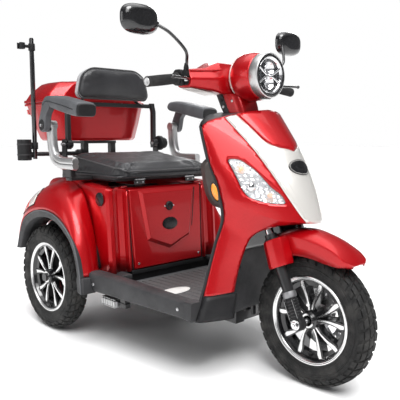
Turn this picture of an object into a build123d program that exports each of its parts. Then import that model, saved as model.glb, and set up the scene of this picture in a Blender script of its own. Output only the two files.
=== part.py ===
"""Three-wheeled mobility scooter with a rear seat box, a top case and a cane holder.

The origin is on the ground, under the middle of the vehicle. The front faces -Y and +X is the
rider's left. Lengths are millimetres. Places along the vehicle are given by aft(), the distance
behind the front axle.
"""

import os
from math import cos, radians, sin

from build123d import *

os.makedirs("parts", exist_ok=True)

# ---------------------------------------------------------------- driving dimensions
LENGTH = 1605.0  # front of the front tyre to the back of the top case
WHEELBASE = 1026.0
TYRE_RADIUS = 205.0  # 3.00-10 tyre
TYRE_HALF_WIDTH = 40.0
REAR_WHEEL_X = 305.0  # middle plane of each rear wheel
AXLE_Z = TYRE_RADIUS
WALL = 4.0  # moulded body panels
SEAM = 1.5  # gap between neighbouring panels
RUNNING_CLEARANCE = 0.05
COLUMN_COVER_RADIUS = 48.0
LAMP_DEPTH = 12.0

RAKE = 24.0  # steering axis, leaning back from vertical
FORK_OFFSET = 35.6  # fork legs ahead of the steering axis
AXLE_BELOW = -15.7  # front axle, measured along the steering axis from its foot
LEG_X = 75.0
STANCHION_RADIUS = 13.0
LEG_RADIUS = 19.0
STEERER_RADIUS = 15.0

BAR_RADIUS = 11.0
GRIP_RADIUS = 16.0

SEAT_HALF_WIDTH = 220.0
PAN_Z = 590.0
PAN_THICKNESS = 14.0
ARM_TUBE_X = 305.0
ARM_TUBE_WIDTH = 28.0
ARM_PIVOT = (1013.0, 795.0)  # distance aft and height
ARM_PIN_RADIUS = 6.0
RECLINE_PIVOT = (1036.0, 722.0)
SEAT_HINGE = (712.0, 597.0)
SEAT_PIN_RADIUS = 4.0

FLOOR_Z = 222.0
SWING_PIVOT = (747.5, 175.0)
PIVOT_RADIUS = 8.0


def aft(distance):
    """Y of a place this far behind the front axle."""
    return distance + TYRE_RADIUS - LENGTH / 2


def save(part, name):
    """Label one sub-part and write it."""
    part.label = name
    export_step(part, f"parts/{name}.step")


REAR_AXLE_Y = aft(WHEELBASE)
STEER_FOOT = (0, aft(38.9), AXLE_Z)
STEER_DIRECTION = (0, sin(radians(RAKE)), cos(radians(RAKE)))
STEER = Plane(origin=STEER_FOOT, x_dir=(1, 0, 0), z_dir=STEER_DIRECTION)


def steer_height(z):
    """Distance along the steering axis at which the axis reaches this height."""
    return (z - AXLE_Z) / cos(radians(RAKE))


def steer_plane(along, back=0.0, across=0.0):
    """Plane square to the steering axis, this far up it and moved back and across."""
    return STEER.offset(along).shift_origin(
        STEER.from_local_coords(Vector(across, back, along))
    )


# ---------------------------------------------------------------- small builders
def points_aft(points):
    """Side-view points, given as distance aft and height, in the vehicle's frame."""
    return [(aft(distance), height) for distance, height in points]


def side_block(points, x_low, x_high):
    """Solid with this side-view outline between two places across the vehicle."""
    with BuildPart() as block:
        with BuildSketch(Plane.YZ.offset(x_low)):
            Polygon(*points_aft(points), align=None)
        extrude(amount=x_high - x_low)
    return block.part


def front_block(points, aft_low, aft_high):
    """Solid with this front-view outline (x, z) between two places along the vehicle."""
    with BuildPart() as block:
        with BuildSketch(Plane.XZ.offset(-aft(aft_low))):
            Polygon(*points, align=None)
        extrude(amount=aft_low - aft_high)
    return block.part


def plan_block(points, z_low, z_high):
    """Solid with this plan outline (x, distance aft) between two heights."""
    with BuildPart() as block:
        with BuildSketch(Plane.XY.offset(z_low)):
            Polygon(*[(x, aft(distance)) for x, distance in points], align=None)
        extrude(amount=z_high - z_low)
    return block.part


def cuboid(x_range, aft_range, z_range):
    """Box between two places across, along and up the vehicle."""
    corners = [
        (x_range[0], aft_range[0]),
        (x_range[1], aft_range[0]),
        (x_range[1], aft_range[1]),
        (x_range[0], aft_range[1]),
    ]
    return plan_block(corners, z_range[0], z_range[1])


def mirrored(points):
    """Front-view outline completed on the other side of the middle."""
    return points + [(-x, z) for x, z in reversed(points) if x != 0]


def rod(start, end, radius):
    """Round bar between two points."""
    axis = Vector(*end) - Vector(*start)
    with BuildPart() as bar:
        with BuildSketch(Plane(origin=start, z_dir=axis)):
            Circle(radius)
        extrude(amount=axis.length)
    return bar.part


def both_sides(part):
    """This solid and its mirror image across the vehicle's middle plane."""
    return [part, mirror(part, about=Plane.YZ)]


# ---------------------------------------------------------------- leg shield and its panels
# Each level is height, middle of the nose, cheek across and aft, half-width, the parting line
# between the two sides, and the bulge over the steering column.
COVER_FLAT = 14.0  # straight side of the rider-side cover
CHEEK_EDGE = 2.0  # front of the parting line at which the cheek meets the side
SHIELD_LEVELS = [
    (195, 140, 186, 188, 292, 226, 286),
    (300, 140, 186, 188, 250, 226, 286),
    (430, 112, 186, 186, 222, 226, 288),
    (505, 14, 186, 174, 190, 226, 296),
    (560, 38, 188, 184, 190, 226, 312),
    (620, 62, 190, 206, 202, 236, 332),
    (664, 78, 190, 226, 202, 249, 346),
    (712, 100, 188, 244, 200, 263, 362),
    (780, 152, 186, 276, 199, 286, 388),
    (850, 208, 176, 304, 188, 308, 400),
]


def shield_section(level, wall, behind):
    """One level of the leg shield's front: an arc between the cheeks, then the sides."""
    z, nose, cheek_x, cheek, half_width, parting, _ = level
    cheek_x = cheek_x - wall
    cheek = cheek + wall
    edge = half_width - wall
    with BuildSketch(Plane.XY.offset(z)) as section:
        with BuildLine():
            ThreePointArc((-cheek_x, aft(cheek)), (0, aft(nose + wall)), (cheek_x, aft(cheek)))
            Polyline(
                (cheek_x, aft(cheek)),
                (edge, aft(parting - CHEEK_EDGE)),
                (edge, aft(parting + behind)),
                (-edge, aft(parting + behind)),
                (-edge, aft(parting - CHEEK_EDGE)),
                (-cheek_x, aft(cheek)),
            )
        make_face()
    return section.sketch


def shield_front(wall, behind):
    """Solid from the nose to this far behind the parting line, drawn in by this wall."""
    with BuildPart() as nose:
        loft([shield_section(level, wall, behind) for level in SHIELD_LEVELS], ruled=True)
    return nose.part


def cover_section(level, wall, behind):
    """One level of the rider-side cover: an arc round the steering column."""
    z, _, _, _, half_width, parting, bulge = level
    edge = half_width - wall
    side = parting + COVER_FLAT - wall
    front = parting + behind
    with BuildSketch(Plane.XY.offset(z)) as section:
        with BuildLine():
            ThreePointArc((-edge, aft(side)), (0, aft(bulge - wall)), (edge, aft(side)))
            Polyline((edge, aft(side)), (edge, aft(front)), (-edge, aft(front)), (-edge, aft(side)))
        make_face()
    return section.sketch


def shield_back(wall, behind):
    """Solid from the parting line back round the steering column, drawn in by this wall."""
    with BuildPart() as cover:
        loft([cover_section(level, wall, behind) for level in SHIELD_LEVELS], ruled=True)
    return cover.part


def outline_prism(outlines, margin=0.0, aft_low=-60, aft_high=480):
    """Front-view outlines, grown by this margin, as prisms through the whole leg shield."""
    with BuildPart() as prism:
        with BuildSketch(Plane.XZ.offset(-aft(aft_low))):
            for outline in outlines:
                Polygon(*outline, align=None)
            if margin:
                offset(amount=margin)
        extrude(amount=aft_low - aft_high)
    return prism.part


def lowered(points, drop):
    """Front-view outline moved down."""
    return [(x, z - drop) for x, z in points]


SHIELD_TOP = [(0, 838), (90, 824), (150, 812), (190, 799), (230, 776)]
ARCH_EDGE = [(166, 280), (150, 330), (122, 440), (92, 490), (55, 506), (0, 506)]
RED_OUTLINE = mirrored(SHIELD_TOP + [(300, 280)] + ARCH_EDGE)
NOSE_TOP = [(0, 711), (30, 716), (84, 741), (124, 820), (166, 810)]
NOSE_OUTLINE = mirrored(NOSE_TOP + [(118, 716), (92, 644), (62, 560), (46, 500), (0, 500)])
COLUMN_OUTLINE = mirrored([(0, 845), (121, 826), (82, 744), (29, 718), (0, 713)])
LAMP_HALF = [(170, 688), (134, 684), (110, 640), (98, 598), (92, 552), (130, 562), (168, 590)]
LAMP_OUTLINES = [LAMP_HALF, [(-x, z) for x, z in LAMP_HALF]]
POD_HALF = [(160, 690), (192, 690), (213, 664), (206, 632), (206, 576), (187, 556), (160, 540)]
COVER_OUTLINE = mirrored(SHIELD_TOP + [(300, 236), (0, 236)])
COLUMN_AXIS = [STEER.from_local_coords((0, 0, steer_height(z))) for z in (560, 960)]

TIP_HALF = [(158, 278), (254, 278), (298, 200), (146, 200)]
TIP_OUTLINES = [TIP_HALF, [(-x, z) for x, z in TIP_HALF]]
OPEN_BACK = 30.0  # reach of the inside solids behind the parting line
POD_DEPTH = 40.0
POD_AFT = 232.0
REFLECTOR = (246.0, 604.0)  # distance aft and height

front_solid = shield_front(0, 0)
column_hole = rod(*COLUMN_AXIS, COLUMN_COVER_RADIUS + 3)

with BuildPart() as front_skin:
    add(front_solid)
    add(shield_front(WALL, OPEN_BACK), mode=Mode.SUBTRACT)
    add(outline_prism([RED_OUTLINE]), mode=Mode.INTERSECT)

with BuildPart() as leg_shield:
    add(front_skin.part)
    add(outline_prism([NOSE_OUTLINE], SEAM), mode=Mode.SUBTRACT)
    add(outline_prism([COLUMN_OUTLINE], SEAM), mode=Mode.SUBTRACT)
    add(outline_prism(LAMP_OUTLINES, SEAM), mode=Mode.SUBTRACT)
save(leg_shield.part, "leg_shield")

with BuildPart() as nose_panel:
    add(front_skin.part)
    add(outline_prism([NOSE_OUTLINE]), mode=Mode.INTERSECT)
save(nose_panel.part, "nose_panel")

with BuildPart() as column_cover:
    add(front_skin.part)
    add(outline_prism([COLUMN_OUTLINE]), mode=Mode.INTERSECT)
    add(column_hole, mode=Mode.SUBTRACT)
save(column_cover.part, "column_cover")

with BuildPart() as front_lamps:
    add(front_solid)
    add(shield_front(LAMP_DEPTH, OPEN_BACK), mode=Mode.SUBTRACT)
    add(outline_prism(LAMP_OUTLINES), mode=Mode.INTERSECT)
save(front_lamps.part, "front_lamps")

# The rider-side cover, with its sloping top, its feet and the pods that carry the reflectors.
back_solid = shield_back(0, SEAM)
with BuildPart() as cover_roof:
    add(back_solid)
    add(shield_front(WALL + SEAM, OPEN_BACK))
    add(outline_prism([COVER_OUTLINE]), mode=Mode.INTERSECT)
    add(outline_prism([lowered(COVER_OUTLINE, WALL)]), mode=Mode.SUBTRACT)

with BuildPart() as cover_feet:
    add(shield_front(0, SEAM + WALL))
    add(shield_front(WALL, OPEN_BACK), mode=Mode.SUBTRACT)
    add(outline_prism(TIP_OUTLINES), mode=Mode.INTERSECT)

with BuildPart() as side_pod:
    add(front_block(POD_HALF, POD_AFT, POD_AFT + POD_DEPTH))
    add(shield_front(-SEAM, SEAM), mode=Mode.SUBTRACT)

with BuildPart() as inner_shield:
    add(back_solid)
    add(shield_back(WALL, -OPEN_BACK), mode=Mode.SUBTRACT)
    add(outline_prism([COVER_OUTLINE]), mode=Mode.INTERSECT)
    add(cover_roof.part)
    add(cover_feet.part)
    for pod in both_sides(side_pod.part):
        add(pod)
    add(column_hole, mode=Mode.SUBTRACT)
save(inner_shield.part, "inner_shield")

with BuildPart() as side_reflectors:
    for side in (-1, 1):
        with BuildSketch(Plane.YZ.offset(side * 206.5)):
            with Locations((aft(REFLECTOR[0]), REFLECTOR[1])):
                Ellipse(12, 24)
        extrude(amount=side * 7)
save(side_reflectors.part, "side_reflectors")

# The liner behind the front wheel, between the two legs of the shield.
with BuildPart() as wheel_liner:
    with BuildSketch(Plane.XY.offset(200)):
        with BuildLine():
            ThreePointArc((-150, aft(204)), (0, aft(222)), (150, aft(204)))
            Line((150, aft(204)), (150, aft(208)))
            ThreePointArc((150, aft(208)), (0, aft(226)), (-150, aft(208)))
            Line((-150, aft(208)), (-150, aft(204)))
        make_face()
    extrude(amount=262)
    add(
        outline_prism([mirrored([(0, 462), (100, 462), (132, 340), (144, 280), (140, 200), (0, 200)])]),
        mode=Mode.INTERSECT,
    )
save(wheel_liner.part, "wheel_liner")

# ---------------------------------------------------------------- floor
with BuildPart() as floor_pan:
    add(plan_block([(-236, 300), (236, 300), (284, 690), (-284, 690)], FLOOR_Z - 7, FLOOR_Z))
    with BuildSketch(Plane.XY.offset(FLOOR_Z)):
        with Locations((0, aft(490))):
            with GridLocations(36, 36, 12, 9):
                Rectangle(22, 4)
    extrude(amount=1.5)
save(floor_pan.part, "floor_pan")

SKIRT_SIDE = [
    (258, 262), (258, 202), (400, 206), (560, 208), (706, 212), (706, 286), (600, 284), (453, 274),
]
SKIRT_PLAN = [(302, 258), (344, 708), (288, 708), (242, 258)]
with BuildPart() as skirt:
    add(side_block(SKIRT_SIDE, 230, 350))
    add(plan_block(SKIRT_PLAN, 190, 300), mode=Mode.INTERSECT)
with BuildPart() as running_boards:
    for board in both_sides(skirt.part):
        add(board)
save(running_boards.part, "running_boards")

# ---------------------------------------------------------------- frame
RAIL_X = 70.0
RAIL_Z = (150, 190)
UPRIGHT_AFT = (905, 930)
TOP_RAIL_Z = (520, 545)
HEAD_TUBE_RADIUS = 24.0
PEG_PIVOT = (-250.0, 622.0)  # x and distance aft
PEG_PIN_RADIUS = 5.0

with BuildPart() as main_frame:
    for side in (-1, 1):
        rail = sorted((side * (RAIL_X - 20), side * (RAIL_X + 20)))
        post = sorted((side * (RAIL_X - 12), side * (RAIL_X + 12)))
        add(cuboid(rail, (240, 930), RAIL_Z))
        add(cuboid(post, UPRIGHT_AFT, (150, TOP_RAIL_Z[1])))
        add(cuboid(post, (905, 1170), TOP_RAIL_Z))
        add(cuboid(post, (1145, 1170), (520, 722)))
    for place in (240, 600, 708):
        add(cuboid((-60, 60), (place, place + 30), (155, 185)))
    add(cuboid((-190, 190), (735, 760), (165, 185)))
    add(cuboid((-190, 190), (975, 1005), TOP_RAIL_Z))
    add(cuboid((-82, 82), (1140, 1320), (722, 732)))
    add(cuboid((PEG_PIVOT[0] - 14, -60), (608, 636), (172, 186)))
    add(rod((PEG_PIVOT[0], aft(PEG_PIVOT[1]), 150), (PEG_PIVOT[0], aft(PEG_PIVOT[1]), 175), PEG_PIN_RADIUS))
    add(rod((0, aft(252), 165), (0, aft(252), 610), 19))
    add(cuboid((-16, 16), (215, 262), (565, 625)))
    with BuildSketch(STEER.offset(steer_height(562))):
        Circle(HEAD_TUBE_RADIUS)
    extrude(amount=140)
    with BuildSketch(STEER.offset(steer_height(562) - 10)):
        Circle(STEERER_RADIUS + RUNNING_CLEARANCE)
    extrude(amount=160, mode=Mode.SUBTRACT)
    for side in (-1, 1):
        pivot = (aft(SWING_PIVOT[0]), SWING_PIVOT[1])
        add(rod((side * 180, *pivot), (side * 216, *pivot), PIVOT_RADIUS))
save(main_frame.part, "main_frame")

# ---------------------------------------------------------------- rear body
BODY_HALF_WIDTH = 250.0
BODY_SIDE = [
    (703, 262), (703, 560), (716, 573), (861, 574), (1007, 586), (1110, 584), (1190, 540),
    (1226, 440), (1226, 290),
]
BODY_INSIDE = [
    (707, 200), (707, 558), (718, 569), (861, 570), (1007, 582), (1108, 580), (1187, 537),
    (1222, 439), (1222, 200),
]
TRIM_OUTER = [
    (708, 222), (722, 300), (752, 375), (806, 430), (880, 467), (968, 478), (1076, 460),
    (1185, 407), (1258, 292),
]
TRIM_INNER = [
    (1228, 292), (1165, 383), (1066, 432), (968, 450), (887, 440), (820, 404), (777, 363),
    (751, 297), (735, 222),
]
FENDER_SIDE = [
    (716, 288), (716, 574), (861, 575), (1007, 590), (1062, 572), (1130, 525), (1190, 450),
    (1236, 340), (1244, 292),
]


def fender_solid(inset):
    """Left rear fender: a slope from the body's shoulder out to the wheel arch, drawn in."""
    profile = [
        (244, 270), (244, 572 - inset), (266 - inset / 2, 571 - inset), (374 - inset, 484 - inset),
        (374 - inset, 270),
    ]
    plan = [
        (240, 716 + inset), (374 - inset, 716 + inset), (374 - inset, 1000), (354 - inset, 1140),
        (340 - inset, 1244 - inset), (240, 1244 - inset),
    ]
    with BuildPart() as fender:
        add(front_block(profile, 700, 1260))
        add(plan_block(plan, 200, 620), mode=Mode.INTERSECT)
        side_view = [(distance, z - inset * (1 if z > 300 else 2)) for distance, z in FENDER_SIDE]
        add(side_block(side_view, 200, 400), mode=Mode.INTERSECT)
    return fender.part


TAIL_LAMP_BOX = ((296, 356), (1052, 1128), (472, 545))
TAIL_LAMP_GAP = ((294.5, 357.5), (1050.5, 1129.5), (470.5, 600))
fender_outer = fender_solid(0)
with BuildPart() as fender:
    add(fender_outer)
    add(fender_solid(WALL), mode=Mode.SUBTRACT)
    add(side_block(TRIM_OUTER + [(1258, 150), (708, 150)], BODY_HALF_WIDTH + 0.5, 400), mode=Mode.SUBTRACT)
    add(cuboid(*TAIL_LAMP_GAP), mode=Mode.SUBTRACT)

with BuildPart() as rear_body:
    add(side_block(BODY_SIDE, -BODY_HALF_WIDTH, BODY_HALF_WIDTH))
    add(side_block(BODY_INSIDE, -BODY_HALF_WIDTH + WALL, BODY_HALF_WIDTH - WALL), mode=Mode.SUBTRACT)
    add(cuboid((-206, 206), (730, 985), (560, 600)), mode=Mode.SUBTRACT)
    add(cuboid((-150, 150), (700, 710), (290, 540)), mode=Mode.SUBTRACT)
    add(cuboid((-90, 90), (1138, 1178), (500, 620)), mode=Mode.SUBTRACT)
    for shell in both_sides(fender.part):
        add(shell)
    for side in (-1, 1):
        lug = sorted((side * 146, side * 152))
        add(cuboid(lug, (706, 718), (560, SEAT_HINGE[1] + 6)))
        hinge = (aft(SEAT_HINGE[0]), SEAT_HINGE[1])
        add(rod((side * 104, *hinge), (side * 147, *hinge), SEAT_PIN_RADIUS))
    for low, high in ((BODY_HALF_WIDTH - 5, 400), (-400, -BODY_HALF_WIDTH + 5)):
        add(
            side_block(
                [(845, 170), (845, 330), (930, 400), (1100, 400), (1190, 330), (1190, 170)],
                low,
                high,
            ),
            mode=Mode.SUBTRACT,
        )
save(rear_body.part, "rear_body")

with BuildPart() as trim:
    add(side_block(TRIM_OUTER + TRIM_INNER, 300, 400))
    add(
        plan_block(
            [
                (378, 700), (378, 1000), (358, 1140), (343, 1262), (309, 1262), (324, 1140),
                (344, 1000), (344, 700),
            ],
            200,
            500,
        ),
        mode=Mode.INTERSECT,
    )
with BuildPart() as arch_trims:
    for band in both_sides(trim.part):
        add(band)
save(arch_trims.part, "arch_trims")

with BuildPart() as tail_lamp:
    add(fender_outer)
    add(fender_solid(LAMP_DEPTH), mode=Mode.SUBTRACT)
    add(cuboid(*TAIL_LAMP_BOX), mode=Mode.INTERSECT)
with BuildPart() as tail_lamps:
    for lamp in both_sides(tail_lamp.part):
        add(lamp)
save(tail_lamps.part, "tail_lamps")

PANEL_OUTLINE = mirrored([(0, 562), (178, 562), (166, 264), (0, 264)])
CHEVRON_OUTLINE = mirrored([(0, 556), (128, 556), (104, 370), (0, 326)])
with BuildPart() as access_panel:
    add(front_block(PANEL_OUTLINE, 692, 702.5))
    add(front_block(CHEVRON_OUTLINE, 684, 693))
    with BuildSketch(Plane.XZ.offset(-aft(680))):
        with Locations((0, 490)):
            Circle(17)
    extrude(amount=-30, mode=Mode.SUBTRACT)
save(access_panel.part, "access_panel")

with BuildPart() as charging_socket:
    with BuildSketch(Plane.XZ.offset(-aft(678))):
        with Locations((0, 490)):
            Circle(16.5)
    extrude(amount=-36)
    with BuildSketch(Plane.XZ.offset(-aft(678))):
        with Locations((0, 490)):
            Circle(9)
    extrude(amount=-12, mode=Mode.SUBTRACT)
save(charging_socket.part, "charging_socket")

with BuildPart() as battery_and_controller:
    add(cuboid((-140, 140), (722, 893), (192, 500)))
    add(cuboid((-50, 50), (1010, 1125), (440, 495)))
save(battery_and_controller.part, "battery_and_controller")

# ---------------------------------------------------------------- cane holder
CANE_AFT = 1200.0
POLE_X = -280.0
CUP_X = -326.0
with BuildPart() as cane_holder:
    add(rod((-90, aft(1159), 680), (POLE_X, aft(CANE_AFT), 680), 9))
    add(cuboid((-98, -82.5), (1147, 1169), (666, 694)))
    add(cuboid((-82.5, -70), (1147, 1169), (666, 694)), mode=Mode.SUBTRACT)
    add(rod((POLE_X, aft(CANE_AFT), 660), (POLE_X, aft(CANE_AFT), 1147), 9.5))
    add(rod((POLE_X, aft(CANE_AFT), 1112), (CUP_X + 8, aft(CANE_AFT), 1112), 6))
    add(rod((CUP_X, aft(CANE_AFT), 1100), (CUP_X, aft(CANE_AFT), 1124), 16))
    add(rod((CUP_X, aft(CANE_AFT), 656), (CUP_X, aft(CANE_AFT), 740), 28))
    add(cuboid((CUP_X, POLE_X), (1192, 1208), (664, 690)))
    add(rod((CUP_X, aft(CANE_AFT), 662), (CUP_X, aft(CANE_AFT), 741), 24), mode=Mode.SUBTRACT)
    add(rod((CUP_X, aft(CANE_AFT), 1099), (CUP_X, aft(CANE_AFT), 1125), 11.5), mode=Mode.SUBTRACT)
    add(cuboid((CUP_X - 20, CUP_X), (CANE_AFT - 8, CANE_AFT + 8), (1099, 1125)), mode=Mode.SUBTRACT)
save(cane_holder.part, "cane_holder")

# ---------------------------------------------------------------- top case
CASE_LEVELS = [(732.5, 200, 1128, 1328), (742, 208, 1122, 1338), (882, 245, 1112, 1380)]
LID_HINGE = (1108.0, 890.5)  # distance aft and height
LID_AXIS = (aft(LID_HINGE[0]), LID_HINGE[1])
LID_PIN_RADIUS = 3.0
LID_LEVELS = [(903, 244, 1114, 1384), (965, 196, 1120, 1350), (980, 168, 1124, 1330)]


def case_loft(levels, wall):
    """Stack of rectangles, drawn in by this wall."""
    with BuildPart() as shape:
        sections = []
        for z, half_width, front, back in levels:
            with BuildSketch(Plane.XY.offset(z)) as section:
                with Locations((0, aft((front + back) / 2))):
                    Rectangle(2 * (half_width - wall), back - front - 2 * wall)
            sections.append(section.sketch)
        loft(sections, ruled=True)
    return shape.part


with BuildPart() as case_base:
    add(case_loft(CASE_LEVELS, 0))
    add(cuboid((-250, 250), (1108, 1388), (880, 890)))
    add(cuboid((-45, 45), (1386, 1400), (858, 888)))
    for side in (-1, 1):
        knuckle = sorted((side * 59, side * 91))
        add(cuboid(knuckle, (1100, 1116), (878, 892)), mode=Mode.SUBTRACT)
        for ear in (sorted((side * 52, side * 59)), sorted((side * 91, side * 98))):
            add(cuboid(ear, (1102, 1114), (880, LID_HINGE[1] + 6)))
        add(rod((side * 55, *LID_AXIS), (side * 95, *LID_AXIS), LID_PIN_RADIUS))
    add(
        case_loft([(737, 196, 1132, 1324), (742, 208, 1122, 1338), (882, 245, 1112, 1380)], WALL),
        mode=Mode.SUBTRACT,
    )
    add(cuboid((-241, 241), (1116, 1376), (880, 892)), mode=Mode.SUBTRACT)
save(case_base.part, "case_base")

with BuildPart() as case_lid:
    add(cuboid((-250, 250), (1110, 1390), (891.5, 903.5)))
    add(case_loft(LID_LEVELS, 0))
    add(cuboid((-236, 236), (1118, 1376), (890, 904)), mode=Mode.SUBTRACT)
    for side in (-1, 1):
        for ear in (sorted((side * 51, side * 60)), sorted((side * 90, side * 99))):
            add(cuboid(ear, (1100, 1118), (890, 904)), mode=Mode.SUBTRACT)
        add(rod((side * 60, *LID_AXIS), (side * 90, *LID_AXIS), 6))
        hole = LID_PIN_RADIUS + RUNNING_CLEARANCE
        add(rod((side * 59, *LID_AXIS), (side * 91, *LID_AXIS), hole), mode=Mode.SUBTRACT)
    add(
        case_loft([(903, 244, 1114, 1384), (961, 196, 1120, 1350), (975, 168, 1124, 1330)], WALL),
        mode=Mode.SUBTRACT,
    )
save(case_lid.part, "case_lid")

# ---------------------------------------------------------------- wheels
HUB_RADIUS = 30.0
FRONT_AXLE_RADIUS = 8.0
REAR_AXLE_RADIUS = 12.0
SPOKES = 5


def wheel_centre(x, distance):
    """Centre of a wheel."""
    return (x, aft(distance), AXLE_Z)


def wheel_section(centre):
    """Plane through a wheel's axis, with radius as its second direction."""
    return Plane(origin=centre, x_dir=(1, 0, 0), z_dir=(0, -1, 0))


def wheel_axis(centre):
    """A wheel's axis of rotation."""
    return Axis(centre, (1, 0, 0))


def build_rim(centre, axle_radius, hub_half_width):
    """Cast wheel with five split spokes."""
    outside = [(31, 137.5), (28, 137.5), (26, 127), (14, 126), (11, 108)]
    inside = [(14, 100), (27, 119), (31, 128)]
    ring = outside[::-1] + inside[::-1] + [(-x, r) for x, r in inside + outside]
    with BuildPart() as rim:
        with BuildSketch(wheel_section(centre)):
            Polygon(*ring, align=None)
        revolve(axis=wheel_axis(centre))
        for spoke in range(SPOKES):
            turn = 360 / SPOKES * spoke
            for lean in (-1, 1):
                with BuildSketch(
                    Plane(origin=(centre[0] - 14, centre[1], centre[2]), x_dir=(0, 1, 0), z_dir=(1, 0, 0)),
                ):
                    with Locations(Rotation(0, 0, turn)):
                        Polygon(
                            (20, lean * 3),
                            (20, lean * 14),
                            (62, lean * 17),
                            (113, lean * 34),
                            (113, lean * 23),
                            (66, lean * 7),
                            align=None,
                        )
                extrude(amount=36)
        with BuildSketch(Plane.YZ.offset(centre[0] - hub_half_width)):
            with Locations((centre[1], centre[2])):
                Circle(HUB_RADIUS)
        extrude(amount=2 * hub_half_width)
        with BuildSketch(Plane.YZ.offset(centre[0] - hub_half_width - 1)):
            with Locations((centre[1], centre[2])):
                Circle(axle_radius + RUNNING_CLEARANCE)
        extrude(amount=2 * hub_half_width + 2, mode=Mode.SUBTRACT)
    return rim.part


def build_tyre(centre):
    """Tyre with its air space open to the rim."""
    with BuildPart() as tyre:
        with BuildSketch(wheel_section(centre)):
            with BuildLine():
                ThreePointArc((-33, 193), (0, TYRE_RADIUS), (33, 193))
                ThreePointArc((33, 193), (TYRE_HALF_WIDTH, 168), (28, 138.8))
                Polyline((28, 138.8), (25.4, 127.4), (15, 127.4))
                ThreePointArc((15, 127.4), (31, 168), (25, 186))
                ThreePointArc((25, 186), (0, 196), (-25, 186))
                ThreePointArc((-25, 186), (-31, 168), (-15, 127.4))
                Polyline((-15, 127.4), (-25.4, 127.4), (-28, 138.8))
                ThreePointArc((-28, 138.8), (-TYRE_HALF_WIDTH, 168), (-33, 193))
            make_face()
        revolve(axis=wheel_axis(centre))
    return tyre.part


front_centre = wheel_centre(0, 0)
save(build_tyre(front_centre), "front_tyre")
save(build_rim(front_centre, FRONT_AXLE_RADIUS, 34), "front_rim")
for side, name in ((-1, "right"), (1, "left")):
    rear_centre = wheel_centre(side * REAR_WHEEL_X, WHEELBASE)
    save(build_tyre(rear_centre), f"{name}_rear_tyre")
    save(build_rim(rear_centre, REAR_AXLE_RADIUS, 34), f"{name}_rear_rim")

DISC_X = (38.0, 41.5)
with BuildPart() as brake_disc:
    with BuildSketch(Plane.YZ.offset(DISC_X[0])):
        with Locations(front_centre[1:]):
            Circle(92)
            Circle(64, mode=Mode.SUBTRACT)
            Circle(32)
        for spoke in range(6):
            with Locations(Location((front_centre[1], front_centre[2], 0), (0, 0, 60 * spoke))):
                Polygon((24, -6), (72, -6), (72, 6), (24, 6), align=None)
    extrude(amount=DISC_X[1] - DISC_X[0])
    with BuildSketch(Plane.YZ.offset(34)):
        with Locations(front_centre[1:]):
            Circle(28)
    extrude(amount=DISC_X[0] - 34)
    with BuildSketch(Plane.YZ.offset(33)):
        with Locations(front_centre[1:]):
            Circle(FRONT_AXLE_RADIUS + RUNNING_CLEARANCE)
    extrude(amount=12, mode=Mode.SUBTRACT)
save(brake_disc.part, "brake_disc")

# ---------------------------------------------------------------- rear axle
SWING_ARM_X = (198, 212)
with BuildPart() as swingarm:
    for side in (-1, 1):
        low, high = sorted((side * SWING_ARM_X[0], side * SWING_ARM_X[1]))
        arm = [
            (735, 162), (760, 162), (1010, 186), (1040, 186), (1040, 224), (1010, 224), (760, 190),
            (735, 190),
        ]
        add(side_block(arm, low, high))
        pad = sorted((side * 145, side * 200))
        add(cuboid(pad, (975, 1010), (205, 228)))
        add(rod((side * 210, REAR_AXLE_Y, AXLE_Z), (side * 341, REAR_AXLE_Y, AXLE_Z), REAR_AXLE_RADIUS))
        add(rod((side * 340, REAR_AXLE_Y, AXLE_Z), (side * 349, REAR_AXLE_Y, AXLE_Z), 16))
    add(rod((-264, REAR_AXLE_Y, AXLE_Z), (264, REAR_AXLE_Y, AXLE_Z), 24))
    add(rod((-74, REAR_AXLE_Y, AXLE_Z), (74, REAR_AXLE_Y, AXLE_Z), 40), mode=Mode.SUBTRACT)
    for side in (-1, 1):
        pivot = (side * 190, aft(SWING_PIVOT[0]), SWING_PIVOT[1])
        add(rod(pivot, (side * 220, *pivot[1:]), PIVOT_RADIUS + RUNNING_CLEARANCE), mode=Mode.SUBTRACT)
save(swingarm.part, "swingarm")

with BuildPart() as drive_motor:
    add(rod((-73.5, REAR_AXLE_Y, AXLE_Z), (73.5, REAR_AXLE_Y, AXLE_Z), 70))
    add(rod((-20, REAR_AXLE_Y, AXLE_Z), (30, REAR_AXLE_Y, AXLE_Z), 82))
save(drive_motor.part, "drive_motor")

with BuildPart() as rear_shocks:
    for side in (-1, 1):
        foot = (side * 170, aft(992), 228)
        add(rod(foot, (*foot[:2], TOP_RAIL_Z[0]), 9))
        add(rod((*foot[:2], 262), (*foot[:2], 470), 22))
save(rear_shocks.part, "rear_shocks")

# ---------------------------------------------------------------- front fork
YOKE_ALONG = (345, 373)
LEG_TOP = 263
COLLAR = 74
POD_ALONG = (160, 258)
BORE_FOOT = 55


def leg_plane(along, side):
    """Plane square to one fork leg."""
    return steer_plane(along, -FORK_OFFSET, side * LEG_X)


with BuildPart() as fork_crown:
    with BuildSketch(steer_plane(YOKE_ALONG[0])):
        with Locations((0, -FORK_OFFSET / 2)):
            Rectangle(2 * LEG_X, 36)
        with Locations((-LEG_X, -FORK_OFFSET), (LEG_X, -FORK_OFFSET)):
            Circle(22)
        Circle(24)
    extrude(amount=YOKE_ALONG[1] - YOKE_ALONG[0])
    with BuildSketch(steer_plane(YOKE_ALONG[0])):
        Circle(STEERER_RADIUS)
    extrude(amount=440)
    for side in (-1, 1):
        with BuildSketch(leg_plane(82, side)):
            Circle(STANCHION_RADIUS)
        extrude(amount=YOKE_ALONG[1] - 82 + 4)
save(fork_crown.part, "fork_crown")

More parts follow.
